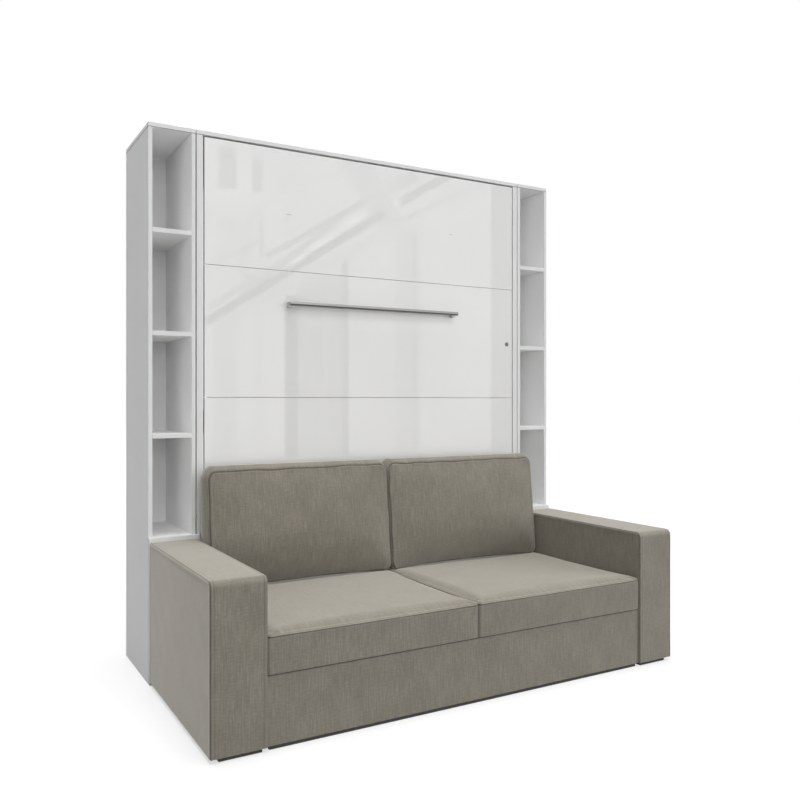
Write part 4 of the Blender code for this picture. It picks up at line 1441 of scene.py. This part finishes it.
    def sew(self, skin: Skin, seed: int) -> Array:
        """Draw in the front seam, which wanders, and the puckers that its thread pulls into the cloth.

        Each pucker is a short dip that crosses the seam, at a place picked along it.

        Args:
            skin: the cushion's skin, which is changed.
            seed: picks its unevenness and its puckers.

        Returns:
            For each point, 1 in the front seam and 0 away from it.
        """
        wander = self.stray * ripple(skin.points, seed, wavelength=0.10)
        line = skin.seam_line(self.seam_in + wander, side=-1.0)
        rear = skin.seam_line(wander / 2, side=1.0)
        valley = hill(line, self.seam_width)
        draw = np.random.default_rng(seed + 7)
        low, high = skin.points.min(axis=0), skin.points.max(axis=0)
        top = skin.points[:, 2] > (low[2] + high[2]) / 2
        pull = np.zeros(len(skin.points))
        for place in draw.uniform(low[0] + self.pucker_margin, high[0] - self.pucker_margin, self.puckers):
            width = draw.uniform(*self.pucker_widths)
            slant = draw.uniform(-self.pucker_slant, self.pucker_slant)
            offset = skin.points[:, 0] - place - slant * line
            depth = draw.uniform(*self.pucker_depths)
            pull += depth * hill(offset, width) * hill(line, self.pucker_reach) * top
        lip = hill(np.abs(line) - self.lip_aside, self.lip_width)
        skin.push(
            self.waves * ripple(skin.points, seed + 3, wavelength=0.17) + self.lip * lip
            - self.seam_depth * (valley + hill(rear, self.seam_width)) - self.pucker_depth * pull
        )
        # The front seam's valley gets painted shade.
        return np.clip(valley, 0, 1)


@dataclass
class MattressPiece:
    """The mattress: foam under quilted ticking, with a corded border.

    Attributes:
        ticking: its material.
        corner: radius of its corners.
        edge: radius of its edges.
        quilt_pitch: distance between the quilting's stitched lines.
        quilt_depth: how deep they are drawn.
        quilt_sink: how far a panel lies inside the border.
        calm: how far in from the edges the quilting grows to its depth.
        cord: half width of the border's cords.
        cord_down: how far a cord lies below the edge's round.
        cord_height: how far it stands out, as far as the border lies inside the mattress's room.
        groove_aside: how far the groove on each side of a cord lies from it.
        groove_depth: its depth.
        groove_width: its half width.
        step: spacing of the points away from the edges.
        fine_step: their spacing near the edges.
        fine: how far past the edge's round the fine spacing reaches.
    """

    ticking: Material
    corner: float = 0.060
    edge: float = 0.018
    quilt_pitch: float = 0.125
    quilt_depth: float = 0.006
    quilt_sink: float = 0.0015
    calm: float = 0.05
    cord: float = 0.0045
    cord_down: float = 0.004
    cord_height: float = 0.0030
    groove_aside: float = 0.008
    groove_depth: float = 0.002
    groove_width: float = 0.003
    step: float = 0.0125
    fine_step: float = 0.0030
    fine: float = 0.016

    def build(self) -> None:
        """Build the mattress.

        Each quilted panel is a product of two slanted sine waves, pillowed between their lines.
        """
        low, high = node_box("mattress")
        slab = Slab(low, high, Axis.Y, (self.corner,) * 4, self.edge)
        lattice = slab.lattice(self.step, self.fine_step, self.edge + self.fine)
        skin = slab.skin(lattice.flat)
        x, z = skin.points[:, 0], skin.points[:, 2]
        pillows = np.abs(np.sin(pi * (x + z) / self.quilt_pitch) * np.sin(pi * (x - z) / self.quilt_pitch))
        inner = np.clip(skin.across / self.calm, 0, 1)
        line = -self.edge - self.cord_down
        cords = hill(skin.seam_line(line), self.cord)
        grooves = sum(
            hill(skin.seam_line(line + aside), self.groove_width)
            for aside in (self.groove_aside, -self.groove_aside)
        )
        skin.push(
            -self.quilt_depth * inner * (1 - np.sqrt(pillows)) - self.quilt_sink * inner
            + self.cord_height * cords - self.cord_height - self.groove_depth * grooves
        )
        quads, cloth = lattice.quads()
        # The grooves beside the cords carry painted shade through the seam attribute.
        mesh = make_mesh("quilted_mattress", skin.points, quads, cloth, np.clip(grooves, 0, 1))
        piece = add_piece(mesh, self.ticking, Body.BED, ["mattress"])


@dataclass
class LegBar:
    """The bar across the bed's front: a drawn profile whose slanted lower face carries a dark rubber strip,
    which paints the shade under the bar.

    Attributes:
        metal: its material.
        rubber: the strip's material, dark to paint the shade under the bar.
        lip: height of the upright face.
        strip: height of the slanted face.
        slant: how far it slants back.
        arris: radius of its long edges.
        end_round: radius of its ends' edges.
        arc_steps: how many points an arris's arc has.
        end_steps: how many rings round an end's edge.
    """

    metal: Material
    rubber: Material
    lip: float = 0.0092
    strip: float = 0.0062
    slant: float = 0.003
    arris: float = 0.0007
    end_round: float = 0.0006
    arc_steps: int = 5
    end_steps: int = 4

    def outline(self, low: Array, high: Array) -> tuple[Array, Array]:
        """Draw the profile, with an arc at each corner.

        Args:
            low: the lowest corner of the bar's room.
            high: the highest corner.

        Returns:
            The profile's points in Y and Z, and their outward directions.
        """
        (y0, _), (y1, z1) = low[1:], high[1:]
        foot = z1 - self.lip - self.strip
        corners = np.array([(y1, foot), (y1, z1), (y0, z1), (y0, z1 - self.lip), (y0 + self.slant, foot)])
        before = np.roll(corners, 1, axis=0) - corners
        after = np.roll(corners, -1, axis=0) - corners
        before /= np.linalg.norm(before, axis=1, keepdims=True)
        after /= np.linalg.norm(after, axis=1, keepdims=True)
        half = np.arccos(np.clip((before * after).sum(axis=1), -1, 1)) / 2
        centre_way = before + after
        centre_way /= np.linalg.norm(centre_way, axis=1, keepdims=True)
        centres = corners + centre_way * (self.arris / np.sin(half))[:, None]
        sweep = (pi / 2 - half)[:, None] * np.linspace(-1, 1, self.arc_steps)[None, :]
        heading = np.arctan2(-centre_way[:, 1], -centre_way[:, 0])[:, None] + sweep
        ways = np.stack([np.cos(heading), np.sin(heading)], axis=-1)
        return (centres[:, None, :] + self.arris * ways).reshape(-1, 2), ways.reshape(-1, 2)

    def build(self) -> None:
        """Carry the outline along X; at each end it draws in along a quarter circle, and a face closes it."""
        low, high = node_box("leg_foot_bar")
        outline, ways = self.outline(low, high)
        angle = np.linspace(0, pi / 2, self.end_steps)
        inward = self.end_round * (1 - np.sin(angle))
        start = np.stack([low[0] + inward, self.end_round * (1 - np.cos(angle))], axis=1)
        end = start * (-1, 1) + (low[0] + high[0], 0)
        stations = np.concatenate([start[::-1], end])
        rings = outline[None] - ways[None] * stations[:, 1, None, None]
        along = np.broadcast_to(stations[:, 0, None, None], (*rings.shape[:2], 1))
        points = np.concatenate([along, rings], axis=-1)
        count = len(outline)
        numbers = np.arange(len(stations) * count).reshape(len(stations), count)
        after = np.roll(numbers, -1, axis=1)
        sides = np.stack([numbers[:-1], after[:-1], after[1:], numbers[1:]], axis=-1).reshape(-1, 4)
        faces = [*sides.tolist(), numbers[0][::-1].tolist(), numbers[-1].tolist()]
        mesh = bpy.data.meshes.new("leg_bar_profile")
        mesh.from_pydata(points.reshape(-1, 3).tolist(), [], faces)
        mesh.validate()
        mesh.shade_smooth()
        mesh.set_sharp_from_angle(angle=radians(50))
        add_piece(mesh, self.metal, Body.LEG, ["leg_foot_bar"])
        # The slanted lower face takes the dark strip: a rubber foot strip whose darkness paints the shade
        # under the bar.
        mesh.materials.append(self.rubber)
        top, foot = high[2] - self.lip - self.arris, high[2] - self.lip - self.strip + self.arris
        for polygon in mesh.polygons:
            _, y, z = polygon.center
            if len(polygon.vertices) == 4 and foot < z < top and y < low[1] + self.slant:
                polygon.material_index = 1


@dataclass
class LegArms:
    """The leg's two arms, faced in the front's white and filling their slots but for a hair's width.

    Attributes:
        front_y: where the front's face lies; ahead of it the arms are satin metal.
        seam_z: where the seam between the front's boards crosses them.
        grow: how much wider each side is than the CAD solid's.
        reach: how far behind the face the part in the slot may reach.
        pin: how far in from the sides of an arm's box its pins' points lie.
        foot: how high the edge at an arm's lower end is.
        metal_ahead: how far ahead of the face the metal starts.
        margin: how far ahead of the face a point still counts as lying in the slot.
    """

    front_y: float
    seam_z: float
    grow: float = 0.0003
    reach: float = 0.02
    pin: float = 0.0079
    foot: float = 0.0005
    metal_ahead: float = 0.0002
    margin: float = 0.0001

    def build(self) -> None:
        """Build both arms from their CAD solids, with the part that lies in the slot widened to its room."""
        white = GlossBoard(
            name="white_faced_satin_leg_arm", metal_ahead_of=self.front_y - self.metal_ahead,
            groove_at=self.seam_z,
        ).material()
        for side in ("left", "right"):
            name = f"leg_arm_{side}"
            low, high = node_box(name)
            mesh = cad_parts[name].data.copy()
            mesh.name = f"leg_arm_faced_{side}"
            points = np.empty(len(mesh.vertices) * 3)
            mesh.vertices.foreach_get("co", points)
            points = points.reshape(-1, 3)
            sunk = points[:, 1] > self.front_y - self.margin
            face = sunk & (points[:, 1] < self.front_y + self.reach)
            pins = (points[:, 0] < low[0] + self.pin) | (points[:, 0] > high[0] - self.pin)
            body = face & ~pins
            middle = (low[0] + high[0]) / 2
            points[body, 0] += self.grow * np.sign(points[body, 0] - middle)
            points[body & (points[:, 2] < low[2] + self.foot), 2] -= self.grow
            # The front upper quarter of the round head turns squarer, as its slot's end is square.
            radius = (float(high[1]) - self.front_y) / 2
            arm = (points[:, 1:] - (self.front_y + radius, high[2] - radius)) / radius
            ahead = body & (arm[:, 0] < 0) & (arm[:, 1] > 0)
            fuller = np.sqrt(np.clip(np.abs(arm[ahead]), 0, 1)) * (-1, 1) * (radius + self.grow)
            points[ahead, 1:] = fuller + (self.front_y + radius + self.grow, high[2] - radius)
            mesh.vertices.foreach_set("co", points.ravel())
            mesh.materials.clear()
            mesh.update()
            add_piece(mesh, white, Body.LEG, [name])


@dataclass
class LockRosette:
    """The lock's rosette: a turned ring with a chamfered rim and a dished face, on its sleeve.

    Attributes:
        metal: its material.
        bore: radius of its bore.
        mouth: width of the chamfer at the bore's mouth.
        mouth_deep: that chamfer's depth.
        dish_in: how far inside the ring's edge its face is lowest.
        dish_deep: the face's depth there.
        crest_in: how far inside the edge the rim is highest.
        round_in: how far inside the edge the rim starts to fall away.
        round_start: the rim's depth there.
        round_end: the rim's depth at the edge.
        flange: thickness of the ring.
        sleeve: outer radius of its sleeve.
        steps: how many steps it has round its axis.
    """

    metal: Material
    bore: float = 0.0071
    mouth: float = 0.0004
    mouth_deep: float = 0.0003
    dish_in: float = 0.0022
    dish_deep: float = 0.0004
    crest_in: float = 0.0012
    round_in: float = 0.0004
    round_start: float = 0.0002
    round_end: float = 0.0008
    flange: float = 0.0022
    sleeve: float = 0.0085
    steps: int = 64

    def build(self) -> None:
        """Turn the ring's closed profile, in radius and depth from its face, round the lock's axis."""
        low, high = node_box("lock_rosette")
        middle = (low + high) / 2
        radius = (high[0] - low[0]) / 2
        depth = high[1] - low[1]
        profile = np.array([
            (self.bore, self.mouth_deep), (self.bore + self.mouth, 0.0),
            (radius - self.dish_in, self.dish_deep), (radius - self.crest_in, 0.0),
            (radius - self.round_in, self.round_start), (radius, self.round_end),
            (radius, self.flange), (self.sleeve, self.flange), (self.sleeve, depth), (self.bore, depth),
        ])
        angle = np.linspace(0, 2 * pi, self.steps, endpoint=False)
        x = middle[0] + profile[:, 0, None] * np.cos(angle)
        z = middle[2] + profile[:, 0, None] * np.sin(angle)
        y = np.broadcast_to(low[1] + profile[:, 1, None], x.shape)
        points = np.stack([x, y, z], axis=-1).reshape(-1, 3)
        numbers = np.arange(len(points)).reshape(x.shape)
        below, beside = np.roll(numbers, -1, axis=0), np.roll(numbers, -1, axis=1)
        both = np.roll(below, -1, axis=1)
        quads = np.stack([numbers, beside, both, below], axis=-1).reshape(-1, 4)
        mesh = make_mesh("lock_rosette_turned", points, quads)
        mesh.set_sharp_from_angle(angle=radians(35))
        add_piece(mesh, self.metal, Body.BED, ["lock_rosette"])


@dataclass
class CarriedParts:
    """The CAD nodes that stay: boards, plates, struts, slats and glides, given real finishes, the columns'
    and the bed frame's tones aside, which paint light and shade.

    Attributes:
        tape_half: half the width of the slats' tapes.
        tape_thick: half their thickness.
    """

    tape_half: float = 0.0152
    tape_thick: float = 0.0021

    def build(self) -> None:
        """Give every carried-over node its material."""
        front_y = float(node_box("cabinet_top")[0][1])
        joint_z = float(node_box("cabinet_top")[0][2])
        outer_x = float(node_box("column_right_outer_side")[1][0])
        board = MelamineBoard(edge="#E0E1E0", front_y=front_y, joint_z=joint_z).material()
        # Painted shade: the bed frame's boards are grey, so that the gaps round the front, which look onto
        # them, show dark like the shade inside them.
        gap_shade_board = MelamineBoard(
            name="grey_frame_board_painted_gap_shade", dark="#A3A4A3", light="#AAABAA"
        ).material()
        # Painted light: the column boards' faces are painted near white, lighter than their front edges and
        # outer faces, for the light that bounces round inside the compartments.
        column_painted_light = MelamineBoard(
            name="white_column_board_painted_light", dark="#FAFBFA", light="#FDFDFD", specular=0.4,
            edge="#DCDDDC", outer="#ECEDED", front_y=front_y, outer_x=outer_x, joint_z=joint_z,
        ).material()
        gloss = GlossBoard().material()
        zinc = BrushedMetal("zinc_plated_steel", "#A9ACAF", "#C3C6C8", 0.36, (5.0, 5.0, 5.0)).material()
        chrome = BrushedMetal("ground_chromed_rod", "#C4C6C8", "#D4D6D8", 0.16, (2.0, 2.0, 9.0)).material()
        satin = BrushedMetal("satin_nickel_plug", "#6E6E6C", "#80807E", 0.28, (1.0, 1.0, 1.0)).material()
        paint = DarkCoat("black_painted_steel_tube", "#151515", "#1E1E1E", 0.36, 1.6).material()
        plastic = DarkCoat("black_moulded_plastic", "#262523", "#32312F", 0.6, 1.2).material()
        birch = BirchWood().material()
        slats = self.slat_material()
        finishes = (
            (("front_board_",), gloss), (("strut_cylinder_",), paint),
            (("strut_rod_",), chrome), (("lock_cylinder",), satin), (("arm_glide_", "front_plinth"), plastic),
            (("seat_platform",), birch), (("slat_base",), slats),
            (("hinge_plate_", "bed_hinge_plate_", "lock_keeper"), zinc),
            (("column_",), column_painted_light), (("bed_rail_", "bed_head_rail", "bed_foot_rail"), gap_shade_board),
            (("cabinet_", "rear_rail_", "arm_back_board_", "sofa_rear_rail"), board),
        )
        for name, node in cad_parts.items():
            for starts, material in finishes:
                if name.startswith(starts):
                    node.data.materials.clear()
                    node.data.materials.append(material)
                    LOG.info("%s: %s", name, material.name)
                    break

    def slat_material(self) -> Material:
        """Make the slats' birch, crossed by the two tapes that lie within their thickness.

        Returns:
            The finish.
        """
        low, high = node_box("slat_base")
        middle = (low[1] + high[1]) / 2
        return BirchWood(
            name="birch_slats_with_webbing", tape_place=float(high[0]) / 2, tape_half=self.tape_half,
            tape_low=middle - self.tape_thick, tape_high=middle + self.tape_thick,
        ).material()


@dataclass(frozen=True)
class Glow:
    """A soft bright region of the surroundings, which fades as the cosine from its middle, to a power.

    Attributes:
        turn: its angle in degrees from straight ahead of the object, towards -X positive.
        rise: its height in degrees above the horizon.
        power: how tightly it is gathered.
        strength: its brightness at the middle.
    """

    turn: float
    rise: float
    power: float
    strength: float

    def way(self) -> tuple[float, float, float]:
        """Return the direction from the object to the middle of the glow."""
        turn, rise = radians(self.turn), radians(self.rise)
        return (-sin(turn) * cos(rise), -cos(turn) * cos(rise), sin(rise))


@dataclass(frozen=True)
class Bar:
    """One flat bar of the hall.

    Attributes:
        start: where it starts, in X and Z.
        stop: where it ends.
        width: its width.
        tone: its brightness, as a share of the hall's.
    """

    start: tuple[float, float]
    stop: tuple[float, float]
    width: float
    tone: float

    def corners(self, y: float) -> Array:
        """Return the corners of the bar.

        Args:
            y: the place in Y of the upright plane that it lies in.

        Returns:
            Four points, in order round the bar.
        """
        start, stop = np.array(self.start), np.array(self.stop)
        way = (stop - start) / np.linalg.norm(stop - start)
        half = np.array([-way[1], way[0]]) * self.width / 2
        flat = np.array([start - half, stop - half, stop + half, start + half])
        return np.stack([flat[:, 0], np.full(4, y), flat[:, 1]], axis=1)


@dataclass(frozen=True)
class Hall:
    """The hall that the gloss front mirrors: piers, bays and an end wall under the timbers of a sloping roof.

    It shows in reflections alone: the camera doesn't see it, and it lights nothing.

    Attributes:
        distance: how far ahead of the object it stands.
        brightness: the glow of a bar whose tone is 1.
        haze: the glow that every bar has besides.
        gap: how much nearer each bar is than the one before.
        bars: its bars, the furthest first.
    """

    distance: float = 9.0
    brightness: float = 1.95
    haze: float = 0.1
    gap: float = 0.01
    bars: tuple[Bar, ...] = (
        Bar((1.5, 0.0), (1.5, 9.0), 21.0, 0.68),
        Bar((2.45, 5.30), (2.45, 4.18), 1.08, 0.74),
        Bar((2.28, 2.48), (2.28, 0.0), 0.40, 0.50),
        Bar((2.83, 2.70), (2.83, 0.0), 0.15, 0.58),
        Bar((3.38, 2.80), (3.38, 0.0), 0.23, 0.05),
        Bar((3.93, 3.19), (3.93, 0.0), 0.88, 0.38),
        Bar((4.35, 3.51), (4.35, 0.0), 0.13, 0.24),
        Bar((3.97, 2.77), (3.97, 0.1), 0.06, 0.52),
        Bar((5.57, 4.08), (5.57, 0.0), 0.52, 0.50),
        Bar((5.70, 4.10), (5.70, 0.0), 0.08, 0.36),
        Bar((8.20, 5.88), (8.20, 0.0), 1.65, 0.24),
        Bar((4.32, 5.34), (5.29, 4.05), 0.52, 0.46),
        Bar((2.28, 5.05), (2.28, 4.40), 0.29, 0.30),
        Bar((2.77, 4.95), (2.77, 4.40), 0.18, 0.34),
        Bar((2.12, 3.35), (3.76, 5.22), 0.12, 0.58),
        Bar((3.16, 3.83), (3.55, 4.73), 0.10, 0.56),
        Bar((2.45, 2.68), (4.09, 4.05), 0.10, 0.36),
        Bar((2.89, 3.38), (4.70, 4.49), 0.11, 0.34),
        Bar((1.96, 2.52), (3.55, 3.57), 0.11, 0.38),
        Bar((1.96, 3.15), (2.89, 3.67), 0.06, 0.46),
        Bar((2.45, 3.15), (2.89, 2.71), 0.08, 0.38),
        Bar((1.88, 2.27), (5.01, 4.30), 0.14, 0.14),
        Bar((2.39, 2.44), (5.29, 4.11), 0.18, 0.55),
        Bar((2.10, 3.80), (2.42, 3.83), 0.16, 0.50),
        Bar((2.79, 3.95), (2.79, 3.31), 0.07, 0.32),
        Bar((2.57, 3.56), (2.45, 3.08), 0.06, 0.42),
        Bar((5.29, 4.19), (7.24, 5.19), 0.07, 0.42),
        Bar((5.29, 4.51), (6.43, 5.20), 0.16, 0.20),
        Bar((5.01, 4.75), (5.66, 5.02), 0.24, 0.38),
        Bar((5.83, 4.43), (7.66, 5.33), 0.05, 0.56),
        Bar((4.20, 3.99), (4.51, 4.16), 0.07, 1.00),
        Bar((3.60, 3.56), (3.98, 3.78), 0.08, 1.00),
        Bar((3.27, 3.29), (3.49, 3.42), 0.06, 0.95),
        Bar((1.00, 0.10), (9.00, 0.10), 0.20, 0.40),
    )

    def build(self) -> None:
        """Build all bars as one glowing mesh."""
        corners = [bar.corners(-self.distance + self.gap * count) for count, bar in enumerate(self.bars)]
        quads = np.arange(4 * len(corners)).reshape(-1, 4)
        mesh = make_mesh("mirrored_hall", np.concatenate(corners), quads)
        tones = np.repeat([self.haze + bar.tone * self.brightness for bar in self.bars], 4)
        mesh.attributes.new("tone", "FLOAT", "POINT").data.foreach_set("value", tones.astype(np.float32))
        material = bpy.data.materials.new("mirrored_hall_glow")
        material.use_nodes = True
        tree = material.node_tree
        tree.nodes.clear()
        tone = add_node(tree, "Attribute", attribute_name="tone")
        glow = add_node(tree, "Emission", {"Strength": tone.outputs["Fac"]})
        add_node(tree, "OutputMaterial", {"Surface": glow})
        mesh.materials.append(material)
        hall = bpy.data.objects.new("mirrored_hall", mesh)
        bpy.context.scene.collection.objects.link(hall)
        hall.visible_camera = hall.visible_diffuse = hall.visible_shadow = False
        hall.visible_transmission = hall.visible_volume_scatter = False


@dataclass
class Studio:
    """A plain white studio: floor, softly glowing white surroundings, the mirrored hall and the camera.

    Attributes:
        camera_place: where the camera stands.
        camera_turn: its heading in degrees from +Y, to the left positive.
        focal_share: its focal length as a share of its sensor's width.
        sensor_mm: that width.
        ambient: brightness of the surroundings as they light the object.
        glows: brighter regions of the surroundings, which light the object too.
        floor_glow: how bright the floor is to the camera where no light reaches it.
        floor_colour: the floor's colour under the light.
        floor_size: length of its sides.
    """

    camera_place: tuple[float, float, float] = (-1.7106, -2.9844, 1.0963)
    camera_turn: float = -30.078
    focal_share: float = 1.01004
    sensor_mm: float = 36.0
    ambient: float = 0.06
    glows: tuple[Glow, ...] = (
        Glow(turn=5, rise=8, power=60, strength=3.2),
        Glow(turn=38, rise=8, power=60, strength=4.9),
        Glow(turn=-46, rise=18, power=14, strength=3.1),
        Glow(turn=8, rise=42, power=80, strength=7.0),
        Glow(turn=0, rise=90, power=40, strength=18.0),
        Glow(turn=180, rise=20, power=6, strength=0.9),
    )
    floor_glow: float = 0.60
    floor_colour: str = "#A4A4A4"
    floor_size: float = 60.0

    def build(self) -> None:
        """Build the whole studio."""
        self.add_camera()
        self.add_surroundings()
        self.add_floor()
        Hall().build()
        bpy.context.scene.view_settings.view_transform = "Standard"

    def add_camera(self) -> None:
        """Add the camera, which is level and stands where the photograph's was found to stand."""
        data = bpy.data.cameras.new("camera")
        data.sensor_width = self.sensor_mm
        data.lens = self.focal_share * self.sensor_mm
        data.clip_end = 100.0
        camera = bpy.data.objects.new("camera", data)
        camera.location = self.camera_place
        camera.rotation_euler = (pi / 2, 0.0, radians(self.camera_turn))
        bpy.context.scene.collection.objects.link(camera)
        bpy.context.scene.camera = camera

    def add_seen(self, tree: Tree) -> Node:
        """Add nodes that tell what is seen from what lights.

        Args:
            tree: the node tree.

        Returns:
            A node that gives 1 where the camera sees a surface, also in gloss or through glass, and else 0.
        """
        ray = add_node(tree, "LightPath").outputs
        seen = add_node(
            tree, "Math", {0: ray["Is Camera Ray"], 1: ray["Is Glossy Ray"]}, operation="MAXIMUM"
        )
        return add_node(tree, "Math", {0: seen, 1: ray["Is Transmission Ray"]}, operation="MAXIMUM")

    def add_surroundings(self) -> None:
        """Make the surroundings white to the camera and in reflections, and glowing softly as a light."""
        world = bpy.data.worlds.new("white_studio")
        bpy.context.scene.world = world
        world.use_nodes = True
        tree = world.node_tree
        tree.nodes.clear()
        place = add_node(tree, "TexCoord")
        light = add_node(tree, "Value")
        light.outputs[0].default_value = self.ambient
        for glow in self.glows:
            cosine = add_node(
                tree, "VectorMath", {0: place.outputs["Generated"], 1: glow.way()}, operation="DOT_PRODUCT"
            )
            facing = add_node(tree, "Math", {0: cosine.outputs["Value"], 1: 0.0}, operation="MAXIMUM")
            faded = add_node(tree, "Math", {0: facing, 1: glow.power}, operation="POWER")
            light = add_node(tree, "Math", {0: faded, 1: glow.strength, 2: light}, operation="MULTIPLY_ADD")
        seen = self.add_seen(tree)
        strength = add_node(tree, "Mix", {0: seen, 2: light, 3: 1.0})
        sky = add_node(tree, "Background", {"Color": (1.0, 1.0, 1.0, 1.0), "Strength": strength})
        add_node(tree, "OutputWorld", {"Surface": sky})

    def add_floor(self) -> None:
        """Add a white floor that glows to the camera, so that only the object's shadow darkens it."""
        half = self.floor_size / 2
        corners = np.array([(-half, -half, 0), (half, -half, 0), (half, half, 0), (-half, half, 0)])
        floor = bpy.data.objects.new("floor", make_mesh("floor", corners, np.array([[0, 1, 2, 3]])))
        bpy.context.scene.collection.objects.link(floor)
        material = bpy.data.materials.new("white_studio_floor")
        material.use_nodes = True
        tree = material.node_tree
        tree.nodes.clear()
        strength = add_node(tree, "Math", {0: self.add_seen(tree), 1: self.floor_glow}, operation="MULTIPLY")
        glow = add_node(tree, "Emission", {"Strength": strength})
        matt = add_node(tree, "BsdfDiffuse", {"Color": linear(self.floor_colour)})
        both = add_node(tree, "AddShader", {0: glow, 1: matt})
        add_node(tree, "OutputMaterial", {"Surface": both})
        floor.data.materials.append(material)


def main() -> None:
    """Build the studio and every piece, in order."""
    logging.basicConfig(level=logging.INFO, format="%(message)s")
    Studio().build()
    CarriedParts().build()
    cloth = WovenCloth().material()
    Upholstery(cloth).build()
    SeatCushions(cloth).build()
    BackCushions(cloth).build()
    MattressPiece(KnittedTicking().material()).build()
    metal = BrushedMetal("satin_anodised_aluminium", "#949492", "#A6A6A4", 0.32, (40.0, 1.0, 1.0))
    rubber = DarkCoat("rubber_strip_and_painted_shade", "#4C4B48", "#585754", 0.7, 1.2)
    LegBar(metal.material(), rubber.material()).build()
    upper_low, _ = node_box("front_board_1")
    _, lower_high = node_box("front_board_2")
    LegArms(float(upper_low[1]), float(upper_low[2] + lower_high[2]) / 2).build()
    nickel = BrushedMetal("satin_nickel_ring", "#7E7E7C", "#90908E", 0.3, (1.0, 1.0, 1.0))
    LockRosette(nickel.material()).build()


if __name__ == "__main__":
    main()
